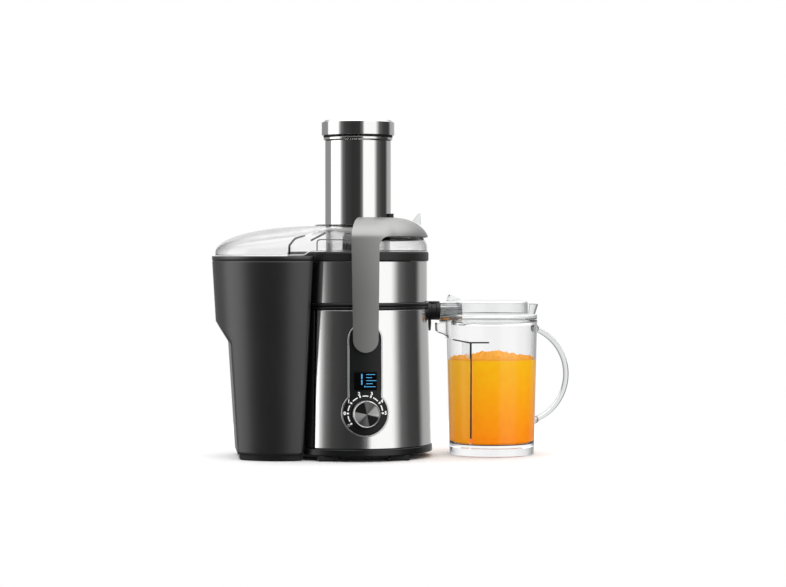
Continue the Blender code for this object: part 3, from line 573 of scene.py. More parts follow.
def plate(outline: Sequence[Point], low_y: float, high_y: float, edge: float = 0.0) -> bmesh.types.BMesh:
    """A flat outline of (x, z) in millimetres, extruded along Y, with its rims rounded.

    Args:
        outline: Points of the outline, in order.
        low_y: Where the plate starts along Y.
        high_y: Where it ends.
        edge: Radius of the rims in millimetres, or 0 for sharp ones.

    Returns:
        The plate.
    """
    bm = bmesh.new()
    face = bm.faces.new([bm.verts.new(at(x, low_y, z)) for x, z in outline])
    grown = bmesh.ops.extrude_face_region(bm, geom=[face])
    moved = [item for item in grown["geom"] if isinstance(item, bmesh.types.BMVert)]
    bmesh.ops.translate(bm, verts=moved, vec=Vector((0.0, high_y - low_y, 0.0)) * MM)
    bmesh.ops.recalc_face_normals(bm, faces=bm.faces)
    if edge > 0.0:
        rims = [item for item in bm.edges if abs(item.verts[0].co.y - item.verts[1].co.y) < 1e-7]
        bmesh.ops.bevel(bm, geom=rims, offset=edge * MM, offset_type="OFFSET", affect="EDGES", segments=3,
                        profile=0.5, material=-1)
    return bm


def joined(*meshes: bmesh.types.BMesh) -> bmesh.types.BMesh:
    """Put several meshes into the first one."""
    first = meshes[0]
    for other in meshes[1:]:
        spare = bpy.data.meshes.new("spare")
        other.to_mesh(spare)
        other.free()
        first.from_mesh(spare)
        bpy.data.meshes.remove(spare)
    return first


@dataclass
class Workshop:
    """Turns meshes into finished pieces of the object and keeps each material once."""

    materials: dict
    made: int = 0

    def material(self, finish: object) -> bpy.types.Material:
        """Return the one material of a finish."""
        if finish.name not in self.materials:
            self.materials[finish.name] = finish.material()
        return self.materials[finish.name]

    def publish(self, name: str, bm: bmesh.types.BMesh, finish: object, body: Body,
                stands_for: Sequence[str] = (), wall_mm: float = 0.0, edge_mm: float = 0.0,
                crease: float = 38.0) -> bpy.types.Object:
        """Make a mesh a piece of the object.

        Args:
            name: The piece's name.
            bm: Its mesh, which is used up.
            finish: Its finish.
            body: The body that it rides on.
            stands_for: CAD nodes that it replaces.
            wall_mm: Thickness that an open surface gets on its inner side.
            edge_mm: Rounding of its sharp edges.
            crease: Edges sharper than this angle in degrees stay sharp in shading.

        Returns:
            The piece.
        """
        mesh = bpy.data.meshes.new(name)
        bm.to_mesh(mesh)
        bm.free()
        piece = bpy.data.objects.new(name, mesh)
        bpy.context.scene.collection.objects.link(piece)
        mesh.materials.append(self.material(finish))
        mesh.shade_smooth()
        if wall_mm:
            wall = piece.modifiers.new("wall", "SOLIDIFY")
            wall.thickness = wall_mm * MM
            wall.offset = -1.0
            wall.use_even_offset = True
        if edge_mm:
            edge = piece.modifiers.new("edge", "BEVEL")
            edge.width = edge_mm * MM
            edge.segments = 3
            edge.limit_method = "ANGLE"
            edge.angle_limit = math.radians(50.0)
            edge.harden_normals = True
        mesh.set_sharp_from_angle(angle=math.radians(crease))
        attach(piece, body.value)
        if stands_for:
            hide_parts(*stands_for)
        self.made += 1
        log.info("made %s", name)
        return piece

    def redress(self, finish: object, *nodes: str) -> None:
        """Give CAD nodes whose shape stays a better material.

        Args:
            finish: The finish to give.
            *nodes: Names of the nodes.
        """
        for node in nodes:
            piece = frame["nodes"][node]
            for place in piece.material_slots:
                place.material = self.material(finish)
            log.info("redressed %s", node)


# ---------------------------------------------------------------- the motor housing

@dataclass
class MotorHousing:
    """Steel shell, black column, trim, feet and seam of the motor base; sizes in millimetres."""

    shop: Workshop
    top_z: float = 184.0
    low_z: float = 15.3
    top_r: float = 88.0
    low_r: float = 92.0
    wall: float = 1.2
    sweep: float = 264.0
    trim_r: float = 93.2
    seam_r: float = 88.5

    def radius(self, z: float) -> float:
        """Outer radius of the shell at a height."""
        return self.top_r + (self.low_r - self.top_r) * (self.top_z - z) / (self.top_z - self.low_z)

    def build_shell(self) -> None:
        """The ground steel shell, with its edges turned in, and the column that closes it."""
        line = fillet([(self.top_r - 1.6, self.top_z, 0.0), (self.radius(self.top_z), self.top_z, 1.0),
                       (self.radius(100.0), 100.0, 0.0), (self.low_r, self.low_z, 1.0),
                       (self.low_r - 1.6, self.low_z, 0.0)], False)
        half = self.sweep / 2.0
        bm = lathe(line, False, segments=132, sweep=self.sweep, start=-half)
        self.shop.publish("steel_shell", bm, BRUSHED_SHELL, Body.BASE, ["motor_shell"], wall_mm=self.wall)
        gap = 360.0 - self.sweep - 1.0
        column = lathe(line, False, segments=48, sweep=gap, start=half + 0.5)
        # The column's darker black is painted shade.
        self.shop.publish("housing_column", column, PAINTED_SHADE_BLACK_ABS, Body.BASE, ["side_column"], wall_mm=1.5)

    def build_base(self) -> None:
        """The trim ring that overhangs the shell, the closing plate and its recessed skirt."""
        low = 6.5
        trim = fillet([(90.6, 15.0, 0.6), (self.trim_r, 14.6, 1.4), (self.trim_r, low, 1.0),
                       (90.6, low, 0.4)], True)
        self.shop.publish("base_trim", lathe(trim, True), BLACK_ABS, Body.BASE, ["base_trim_ring"])
        underside = fillet([(0.0, 9.5, 0.0), (90.0, 9.5, 0.5), (90.0, 6.5, 0.5), (81.0, 6.5, 0.6),
                            (80.0, 2.6, 0.6), (76.0, 2.6, 0.6), (76.0, 6.5, 0.6), (0.0, 6.5, 0.0)], False)
        self.shop.publish("base_underside", lathe(underside, False), CHARCOAL_ABS, Body.BASE, ["base_plate"])

    def build_feet(self) -> None:
        """Block feet with rounded edges, where the frame has them."""
        for end in ("front", "rear"):
            for side in ("left", "right"):
                node = f"foot_{end}_{side}"
                low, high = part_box(node)
                middle = ((low + high) / 2 - AXIS) / MM
                bm = soft_box((middle.x - 12.0, middle.y - 10.5, 0.0),
                              (middle.x + 12.0, middle.y + 10.5, 6.3), 0.0)
                self.shop.publish(f"rubber_{node}", bm, SOFT_RUBBER, Body.BASE, [node], edge_mm=1.0)

    def build_seam(self) -> None:
        """The deck under the bowl, whose flange shows as the lower of two black rings."""
        deck = fillet([(9.0, 166.0, 0.0), (84.3, 166.0, 0.5), (84.3, 188.0, 0.3), (self.seam_r, 188.0, 1.3),
                       (self.seam_r, 184.3, 1.3), (86.0, 184.3, 0.3), (86.0, 163.0, 0.5), (9.0, 163.0, 0.0)],
                       True)
        self.shop.publish("housing_deck", lathe(deck, True), BLACK_ABS, Body.BASE, ["housing_top"])

    def build_inlet(self) -> None:
        """The cord's inlet at the back, a stepped bush."""
        bush = fillet([(3.6, 18.0, 0.4), (6.4, 18.0, 0.8), (7.2, 10.0, 0.6), (8.0, 9.0, 0.6), (8.0, 0.0, 0.3),
                       (3.6, 0.0, 0.3)], True)
        bm = facing_front(lathe(bush, True, segments=48), (0.0, 0.0, 30.0))
        bmesh.ops.rotate(bm, verts=bm.verts, cent=at(0.0, 0.0, 30.0), matrix=Matrix.Rotation(math.pi, 3, "Z"))
        bmesh.ops.translate(bm, verts=bm.verts, vec=Vector((0.0, 85.0, 0.0)) * MM)
        self.shop.publish("inlet_bush", bm, SOFT_RUBBER, Body.BASE, ["cord_gland"])

    def build(self) -> None:
        """Build the whole housing."""
        self.build_shell()
        self.build_base()
        self.build_feet()
        self.build_seam()
        self.build_inlet()


# ---------------------------------------------------------------- the control panel

@dataclass
class ControlPanel:
    """Keyhole panel with its rim, window, printed scale and dial; sizes in millimetres."""

    shop: Workshop
    housing: MotorHousing
    dial_z: float = 59.0
    pivot_z: float = 148.5
    circle_r: float = 28.9
    neck_half: float = 21.0
    rim: float = 2.1
    panel_lift: float = 2.0
    number_r: float = 25.0

    def outline(self, inset: float) -> list[Point]:
        """The keyhole drawn in by an inset: a circle round the dial and a neck to the arm's pivot.

        Args:
            inset: How far the outline is drawn in, in millimetres.

        Returns:
            Points of (x, z) in millimetres.
        """
        circle = self.circle_r - inset
        half = self.neck_half - inset
        join = math.degrees(math.acos(half / circle))
        around = arc((0.0, self.dial_z), circle, join, -180.0 - join, 72)
        return around + arc((0.0, self.pivot_z), half, 180.0, 0.0, 36)

    def on_shell(self, x: float, z: float, lift: float) -> Vector:
        """A point at a height above the shell's surface, seen from the front at x and z."""
        radius = self.housing.radius(z) + lift
        return at(x, -math.sqrt(max(0.0, radius * radius - x * x)), z)

    def wrap(self, bm: bmesh.types.BMesh, low: float, thick: float) -> bmesh.types.BMesh:
        """Lay a flat mesh of (x, z) on the shell and give it thickness.

        Args:
            bm: A flat mesh whose points hold x and z in millimetres as X and Z.
            low: Height of its back above the shell.
            thick: Its thickness.

        Returns:
            The same mesh, closed, in the frame.
        """
        flat = {vert: (vert.co.x, vert.co.z) for vert in bm.verts}
        for vert, (x, z) in flat.items():
            vert.co = self.on_shell(x, z, low)
        grown = bmesh.ops.extrude_face_region(bm, geom=bm.faces[:])
        for vert in grown["geom"]:
            if isinstance(vert, bmesh.types.BMVert):
                place = (vert.co - AXIS) / MM
                across = math.hypot(place.x, place.y)
                grow = (across + thick) / across
                vert.co = at(place.x * grow, place.y * grow, place.z)
        bmesh.ops.recalc_face_normals(bm, faces=bm.faces)
        return bm

    def flat_face(self, outline: Sequence[Point], columns: int) -> bmesh.types.BMesh:
        """A flat face of an outline, cut into upright columns so that it can bend.

        Args:
            outline: Points of (x, z) in millimetres.
            columns: How many columns the face is cut into.

        Returns:
            The face, in millimetres.
        """
        bm = bmesh.new()
        bm.faces.new([bm.verts.new((x, 0.0, z)) for x, z in outline])
        low = min(x for x, _ in outline)
        high = max(x for x, _ in outline)
        for column in range(1, columns):
            x = low + (high - low) * column / columns
            bmesh.ops.bisect_plane(bm, geom=bm.faces[:] + bm.edges[:] + bm.verts[:], dist=1e-5,
                                   plane_co=(x, 0.0, 0.0), plane_no=(1.0, 0.0, 0.0))
        return bm

    def build_plate(self) -> None:
        """The black plate and the bright rim round it."""
        plate_bm = self.wrap(self.flat_face(self.outline(self.rim + 0.2), 24), 0.5, 1.4)
        seat = fillet([(0.0, 2.0, 0.0), (19.4, 2.0, 0.4), (19.4, 0.0, 0.0), (0.0, 0.0, 0.0)], False)
        seat_bm = facing_front(lathe(seat, False, segments=72), (0.0, -91.3, self.dial_z))
        self.shop.publish("panel_plate", joined(plate_bm, seat_bm), PANEL_BLACK, Body.BASE, ["control_panel"])
        rim = bmesh.new()
        loops = []
        for inset in (0.0, self.rim):
            verts = [rim.verts.new((x, 0.0, z)) for x, z in self.outline(inset)]
            loops += [rim.edges.new((verts[index - 1], verts[index])) for index in range(len(verts))]
        bmesh.ops.bridge_loops(rim, edges=loops)
        self.shop.publish("panel_bright_rim", self.wrap(rim, 0.5, 1.9), BUFFED_TRIM, Body.BASE, ["panel_rim"],
                          edge_mm=0.8)

    def build_display(self) -> None:
        """The smoked window, and behind its front the lit digit and the five short bars."""
        low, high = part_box("display_lens")
        first = (low - AXIS) / MM
        last = (high - AXIS) / MM
        lens = soft_box(tuple(first), tuple(last), 0.0)
        self.shop.publish("display_window", lens, WINDOW_BLACK, Body.BASE, ["display_lens"], edge_mm=0.5)
        front = first.y
        strokes = [((-5.2, 101.0), (-3.8, 107.0)), ((-5.2, 94.0), (-3.8, 100.0))]
        for row, length in enumerate((11.0, 7.0, 12.5, 8.0, 11.5)):
            z = 105.9 - row * 3.7
            strokes.append(((0.8, z), (0.8 + length, z + 0.7)))
        strokes.append(((-1.6, 90.9), (-0.1, 92.4)))
        marks = [soft_box((x0, front - 0.12, z0), (x1, front + 0.05, z1), 0.04, 1)
                 for (x0, z0), (x1, z1) in strokes]
        self.shop.publish("display_segments", joined(*marks), BLUE_LIGHT, Body.BASE)

    def printed(self, outline: Sequence[Point]) -> bmesh.types.BMesh:
        """A thin printed mark on the panel."""
        return self.wrap(self.flat_face(outline, 4), self.panel_lift - 0.15, 0.12)

    def ring_mark(self, inner: float, outer: float, start: float, end: float) -> bmesh.types.BMesh:
        """A printed piece of a ring round the dial, between two angles seen from the front."""
        steps = max(2, int(abs(end - start) / 3.0))
        outside = arc((0.0, self.dial_z), outer, start, end, steps)
        inside = arc((0.0, self.dial_z), inner, end, start, steps)
        return self.printed(outside + inside)

    def build_scale(self) -> None:
        """Printed dashes, ticks and the numbers 0 to 5, and a square wave for the pulse setting."""
        marks = []
        stops = [216.0 - 36.0 * index for index in range(7)]
        for start, end in zip(stops, stops[1:]):
            marks.append(self.ring_mark(20.5, 21.9, start - 8.5, end + 8.5))
        for stop in stops:
            marks.append(self.ring_mark(20.0, 22.6, stop + 2.6, stop - 2.6))
        for number, stop in enumerate(stops[1:]):
            marks.append(self.numeral(str(number), math.radians(stop)))
        x = self.number_r * math.cos(math.radians(stops[0]))
        z = self.dial_z + self.number_r * math.sin(math.radians(stops[0]))
        wave = [(-1.8, -1.2), (-0.9, -1.2), (-0.9, 1.4), (0.9, 1.4), (0.9, -1.2), (1.8, -1.2), (1.8, -0.7),
                (1.3, -0.7), (1.3, 1.9), (-1.3, 1.9), (-1.3, -0.7), (-1.8, -0.7)]
        marks.append(self.printed([(x + a * 0.8, z + b * 0.8) for a, b in wave]))
        # The white ink glows faintly: painted light.
        self.shop.publish("printed_scale", joined(*marks), WHITE_INK_PAINTED_GLOW, Body.BASE)

    def numeral(self, text: str, angle: float) -> bmesh.types.BMesh:
        """A printed numeral of the dial's scale at an angle in radians.

        Args:
            text: The figure to print.
            angle: Its place round the dial.

        Returns:
            The numeral as a flat mesh.
        """
        curve = bpy.data.curves.new("numeral", "FONT")
        curve.body = text
        curve.size = 5.6
        curve.offset = 0.22
        curve.align_x = "CENTER"
        curve.align_y = "CENTER"
        curve.resolution_u = 3
        holder = bpy.data.objects.new("numeral", curve)
        bpy.context.scene.collection.objects.link(holder)
        bpy.context.view_layer.update()
        graph = bpy.context.evaluated_depsgraph_get()
        mesh = bpy.data.meshes.new_from_object(holder.evaluated_get(graph))
        bm = bmesh.new()
        bm.from_mesh(mesh)
        bpy.data.objects.remove(holder, do_unlink=True)
        bpy.data.meshes.remove(mesh)
        bmesh.ops.remove_doubles(bm, verts=bm.verts, dist=1e-4)
        x = self.number_r * math.cos(angle)
        z = self.dial_z + self.number_r * math.sin(angle)
        for vert in bm.verts:
            vert.co = Vector((x + vert.co.x, 0.0, z + vert.co.y))
        return self.wrap(bm, self.panel_lift - 0.15, 0.12)

    def build_dial(self) -> None:
        """The dial: a knurl-free skirt, a bright chamfer, a turned face and its pointer dimple."""
        back = -93.9
        depth = 17.0
        skirt = fillet([(14.8, depth - 1.4, 0.0), (14.9, depth - 0.3, 0.2), (15.6, depth, 0.3),
                        (16.4, depth - 1.2, 0.6), (16.4, 0.0, 0.5), (3.4, 0.0, 0.0), (3.4, 11.0, 0.0),
                        (10.0, 11.0, 0.0)], True)
        body = facing_front(lathe(skirt, True, segments=96), (0.0, back, self.dial_z))
        self.shop.publish("dial_body", body, BUFFED_TRIM, Body.DIAL, ["speed_dial"])
        face = fillet([(0.0, depth - 0.6, 0.0), (14.8, depth - 1.2, 0.0), (14.8, 11.2, 0.0),
                       (0.0, 11.2, 0.0)], False)
        front = facing_front(lathe(face, False, segments=96), (0.0, back, self.dial_z))
        # The face carries painted reflection wedges in its base colour.
        self.shop.publish("dial_face", front, TURNED_FACE_PAINTED_WEDGES, Body.DIAL)
        turn = math.radians(144.0)
        spot = (11.2 * math.cos(turn), back - depth + 1.25, self.dial_z + 11.2 * math.sin(turn))
        dot = fillet([(0.0, 0.25, 0.0), (1.1, 0.25, 0.1), (1.5, 0.0, 0.0), (0.0, -0.4, 0.0)], False)
        self.shop.publish("dial_pointer", facing_front(lathe(dot, False, segments=24), spot), PANEL_BLACK,
                          Body.DIAL)
        ring = fillet([(16.9, 2.4, 0.4), (18.9, 2.4, 0.8), (18.9, 0.0, 0.2), (16.9, 0.0, 0.2)], True)
        bezel = facing_front(lathe(ring, True, segments=96), (0.0, -93.6, self.dial_z))
        self.shop.publish("dial_bezel", bezel, PANEL_BLACK, Body.BASE, ["dial_ring"])

    def build(self) -> None:
        """Build the whole panel."""
        self.build_plate()
        self.build_display()
        self.build_scale()
        self.build_dial()


# ---------------------------------------------------------------- bowl, spout, basket

@dataclass
class JuiceBowl:
    """The filter bowl with its steel band, rim, spout and sieve; sizes in millimetres."""

    shop: Workshop
    outer_r: float = 85.3
    band_top: float = 243.2
    spout_z: float = 181.4
    nozzle_z: float = 179.0

    def build_rings(self) -> None:
        """The steel band between its black seam ring and black rim."""
        seam = fillet([(84.3, 192.3, 0.3), (88.5, 192.3, 1.4), (88.5, 188.4, 1.4), (84.3, 188.4, 0.3)], True)
        self.shop.publish("bowl_seam_ring", lathe(seam, True), BLACK_ABS, Body.BASE, ["seam_ring_upper"])
        band = fillet([(85.7, 243.4, 0.2), (87.0, 243.4, 0.5), (87.0, 192.6, 0.5), (85.7, 192.6, 0.2)], True)
        self.shop.publish("bowl_steel_band", lathe(band, True, segments=144), BRUSHED_SHELL, Body.BASE,
                          ["bowl_band"])
        rim = fillet([(83.2, 255.6, 0.6), (87.4, 255.6, 1.0), (88.6, 253.6, 0.8), (88.6, 245.2, 0.8),
                      (87.6, 243.7, 0.5), (83.2, 243.7, 0.3)], True)
        self.shop.publish("bowl_black_rim", lathe(rim, True, segments=144), CHARCOAL_ABS, Body.BASE,
                          ["bowl_rim"])

    def build_bowl(self) -> None:
        """The black bowl with its hub, seen through the lid, and the sump under it."""
        inner = self.outer_r - 2.5
        section = fillet([(inner, self.band_top, 0.6), (self.outer_r, self.band_top, 0.4),
                          (self.outer_r, 192.6, 1.5), (9.5, 192.6, 0.4), (9.5, 202.0, 0.4),
                          (12.0, 202.0, 0.4),
                          (12.0, 195.1, 1.0), (inner, 195.1, 3.0)], True)
        bowl = lathe(section, True)
        sump = soft_box((58.0, -13.0, 170.0), (82.0, 13.0, 193.0), 2.0)
        self.shop.publish("juice_bowl", joined(bowl, sump), CHARCOAL_ABS, Body.BASE, ["filter_bowl"])

    def build_spout(self) -> None:
        """The stepped black collar, its drip lever, and the clear ribbed nozzle."""
        collar = fillet([(9.5, 0.0, 0.2), (11.9, 0.0, 0.4), (11.9, -4.5, 0.3), (11.2, -5.2, 0.3),
                         (11.2, -11.0, 0.3), (11.9, -11.8, 0.3), (11.9, -20.1, 0.3), (9.5, -20.1, 0.2)], True)
        bm = facing_right(lathe(collar, True, segments=72), (103.0, 0.0, self.spout_z))
        lower = soft_box((90.5, -7.0, 169.8), (102.6, 7.0, 175.5), 0.8)
        upper = soft_box((89.0, -7.5, 186.5), (101.5, 7.5, 193.2), 0.8)
        self.shop.publish("spout_collar", joined(bm, lower, upper), BLACK_ABS, Body.BASE, ["juice_spout"])
        lever = plate(fillet([(88.4, 180.0, 0.3), (91.2, 180.0, 0.5), (92.4, 166.0, 3.0), (91.6, 156.6, 0.8),
                              (89.9, 156.0, 0.8), (89.0, 166.0, 3.0)], True), -4.0, 4.0, 0.4)
        self.shop.publish("drip_lever", lever, BLACK_ABS, Body.BASE)
        low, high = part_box("spout_nozzle")
        self.shop.publish("clear_nozzle", self.ribbed_tube((low - AXIS).x / MM, (high - AXIS).x / MM),
                          SMOKED_NOZZLE,
                          Body.BASE, ["spout_nozzle"])

    def ribbed_tube(self, low_x: float, high_x: float, ribs: int = 16) -> bmesh.types.BMesh:
        """A tube along X whose outside carries lengthwise ribs.

        Args:
            low_x: Where the tube starts, in millimetres.
            high_x: Where it ends.
            ribs: How many ribs it has.

        Returns:
            The tube.
        """
        bore = 10.0

        def place(across: float, along: float) -> Vector:
            """A point of the tube, round it by one share and along its section by the other."""
            turn = across * FULL_TURN
            rib = 11.35 + 0.6 * math.cos(ribs * turn)
            radius, x = ((bore, high_x), (rib - 0.3, high_x), (rib, high_x - 0.4), (rib, low_x + 0.4),
                         (rib - 0.3, low_x), (bore, low_x), (bore, high_x))[round(along * 6)]
            return at(x, radius * math.sin(turn), self.nozzle_z + radius * math.cos(turn))

        return warped(ribs * 10, 6, place)

    def build_sieve(self) -> None:
        """The spinning steel sieve with its flange and the grating disc with raised teeth."""
        cone = fillet([(69.6, 253.5, 0.0), (78.0, 253.5, 0.4), (78.0, 252.0, 0.4), (71.0, 252.0, 0.8),
                       (46.8, 209.0, 1.0), (4.3, 209.0, 0.0), (4.3, 210.4, 0.0), (46.0, 210.4, 1.0)], True)
        self.shop.publish("sieve_cone", lathe(cone, True), GROUND_STEEL, Body.SPINNER, ["filter_basket"])
        disc = lathe(fillet([(4.3, 212.2, 0.2), (44.0, 212.2, 0.3), (44.0, 210.8, 0.2), (4.3, 210.8, 0.2)],
                            True), True)
        teeth = []
        for ring_index, ring_r in enumerate((12.0, 20.0, 28.0, 36.0)):
            count = 8 + ring_index * 5
            for index in range(count):
                turn = FULL_TURN * (index + 0.5 * (ring_index % 2)) / count
                tooth = bmesh.new()
                bmesh.ops.create_cone(tooth, cap_ends=True, segments=4, radius1=1.3 * MM, radius2=0.15 * MM,
                                      depth=1.5 * MM)
                bmesh.ops.translate(tooth, verts=tooth.verts,
                                    vec=at(ring_r * math.cos(turn), ring_r * math.sin(turn), 212.9))
                teeth.append(tooth)
        self.shop.publish("grating_disc", joined(disc, *teeth), GROUND_STEEL, Body.SPINNER, ["grater_disc"])

    def build(self) -> None:
        """Build the bowl and what belongs to it."""
        self.build_rings()
        self.build_bowl()
        self.build_spout()
        self.build_sieve()


# ---------------------------------------------------------------- lid and chute

@dataclass
class ClearLid:
    """The clear lid over bowl and bin, its collar and ribs; sizes in millimetres."""

    shop: Workshop
    bowl_r: float = 87.0
    bin_x: float = -95.0
    bin_r: float = 84.0
    top_z: float = 287.5
    low_z: float = 256.1
    wall: float = 2.2
    tube_r: float = 40.5
    tube_wall: float = 2.2

    def radius(self, angle: float) -> float:
        """Plan outline: the bowl's circle and the bin's circle with a soft waist, as in the frame.

        Args:
            angle: Direction from the motor's axis, in radians.

        Returns:
            A radius in millimetres.
        """
        toward = math.cos(angle) * self.bin_x
        inside = toward * toward - self.bin_x * self.bin_x + self.bin_r * self.bin_r
        if toward <= 0.0 or inside <= 0.0:
            return self.bowl_r
        far = toward + math.sqrt(inside)
        soft = 9.0
        return self.bowl_r + soft * math.log1p(math.exp((far - self.bowl_r) / soft)) * min(1.0,
                                                                                           inside / 900.0)

    def surface(self, across: float, along: float) -> Vector:
        """A point of the lid.

        Args:
            across: Share of the way round the chute.
            along: Share of the way outwards, from the chute to the lid's edge.

        Returns:
            The point in the frame's coordinates.
        """
        angle = across * FULL_TURN
        edge = self.radius(angle)
        flat_r = self.tube_r + 0.6 + 14.0 * max(0.0, -math.cos(angle))
        drop = min(1.0, max(0.0, (edge - 103.0) / 7.0))
        low = self.low_z - 5.3 * drop
        crown = low + 4.0
        if along < 0.1:
            r = self.tube_r + 0.3 + (flat_r - self.tube_r - 0.3) * along / 0.1
            z = self.top_z
        elif along < 0.9:
            step = math.sin((along - 0.1) / 0.8 * math.pi / 2.0)
            r = flat_r + (edge - flat_r) * step
            z = crown + (self.top_z - crown) * math.sqrt(max(0.0, 1.0 - step * step))
        else:
            r = edge
            z = crown + (low - crown) * (along - 0.9) / 0.1
        return at(r * math.cos(angle), r * math.sin(angle), z)

    def build_shell(self) -> None:
        """The dome, swept round the chute with many narrow columns, and the chute's clear tube."""
        dome = warped(180, 30, self.surface)
        self.shop.publish("lid_dome", dome, CLEAR_LID, Body.BASE, wall_mm=self.wall)
        inner = self.tube_r - self.tube_wall
        tube = fillet([(inner, 396.0, 0.4), (self.tube_r, 396.0, 0.4), (self.tube_r, 214.0, 0.6),
                       (inner, 214.0, 0.6)], True)
        collar = fillet([(41.0, 289.2, 0.5), (53.6, 289.2, 0.6), (55.0, 287.9, 0.6), (41.0, 287.9, 0.2)],
                        True)
        self.shop.publish("lid_chute_tube", lathe(tube, True), CLEAR_LID, Body.BASE, ["juicer_lid"])
        self.shop.publish("lid_collar", lathe(collar, True), SMOKED_NOZZLE, Body.BASE)

    def build_ribs(self) -> None:
        """The smoked baffle under the lid where pulp turns down into the bin."""
        hook = fillet([(-90.2, 251.5, 0.8), (-87.6, 251.5, 0.8), (-87.4, 263.0, 4.0), (-81.0, 271.4, 5.0),
                       (-69.0, 275.2, 1.0), (-69.4, 277.2, 0.8), (-82.4, 273.8, 5.0), (-90.0, 264.0, 4.0)],
                       True)
        strut = fillet([(-63.4, 270.6, 0.8), (-61.6, 268.6, 0.8), (-43.2, 278.2, 0.8), (-44.6, 280.6, 0.8)],
                       True)
        small = fillet([(-56.4, 256.8, 0.5), (-55.0, 256.8, 0.5), (-55.0, 269.6, 4.0), (-20.0, 269.6, 2.0),
                        (-20.0, 257.0, 0.5), (-18.8, 257.0, 0.5), (-18.8, 270.9, 2.0), (-56.4, 270.9, 5.0)],
                        True)
        baffle = joined(plate(hook, -37.0, -34.8, 0.4), plate(strut, -37.0, -34.0, 0.4),
                        plate(small, -50.0, -48.6, 0.3))
        self.shop.publish("lid_baffle", baffle, SMOKED_RIB_AND_SHADE_LINE, Body.BASE)

    def build(self) -> None:
        """Build the lid."""
        self.build_shell()
        self.build_ribs()


@dataclass
class FeedChute:
    """The steel sleeve round the chute and the pusher with its metal cap; sizes in millimetres."""

    shop: Workshop
    bore: float = 40.9
    outer: float = 41.5
    lip_r: float = 43.4
    pusher_r: float = 37.6
    cap_r: float = 45.9

    def build(self) -> None:
        """Build sleeve and pusher."""
        sleeve = fillet([(self.bore, 398.2, 0.4), (self.lip_r, 398.2, 0.7), (self.lip_r, 395.2, 0.8),
                         (self.outer, 393.8, 1.0), (self.outer, 288.0, 0.2), (self.bore, 288.0, 0.2)], True)
        self.shop.publish("chute_steel_sleeve", lathe(sleeve, True, segments=144), POLISHED_TUBE, Body.BASE,
                          ["chute_sleeve"])
        latch = soft_box((36.5, -24.0, 287.9), (42.4, -17.0, 303.0), 0.6)
        self.shop.publish("chute_latch", latch, CHARCOAL_ABS, Body.BASE)
        body = fillet([(0.0, 218.0, 0.0), (self.pusher_r, 218.0, 3.0), (self.pusher_r, 400.0, 0.3),
                       (self.pusher_r - 2.5, 400.0, 0.3), (self.pusher_r - 2.5, 221.0, 2.0),
                       (0.0, 221.0, 0.0)], False)
        self.shop.publish("pusher_tube", lathe(body, False), CLEAR_LID, Body.PUSHER, ["pusher_body"])
        gasket = fillet([(38.0, 400.5, 0.2), (43.4, 400.5, 0.2), (43.4, 398.6, 0.6), (38.0, 398.6, 0.6)],
                        True)
        self.shop.publish("pusher_gasket", lathe(gasket, True), SOFT_RUBBER, Body.PUSHER)
        cap = fillet([(0.0, 419.5, 0.0), (self.cap_r - 2.6, 419.5, 0.8), (self.cap_r, 416.9, 0.8),
                      (self.cap_r, 400.6, 0.6), (0.0, 400.6, 0.0)], False)
        self.shop.publish("pusher_metal_cap", lathe(cap, False, segments=144), CAST_CAP, Body.PUSHER,
                          ["pusher_cap"])


# ---------------------------------------------------------------- locking arm

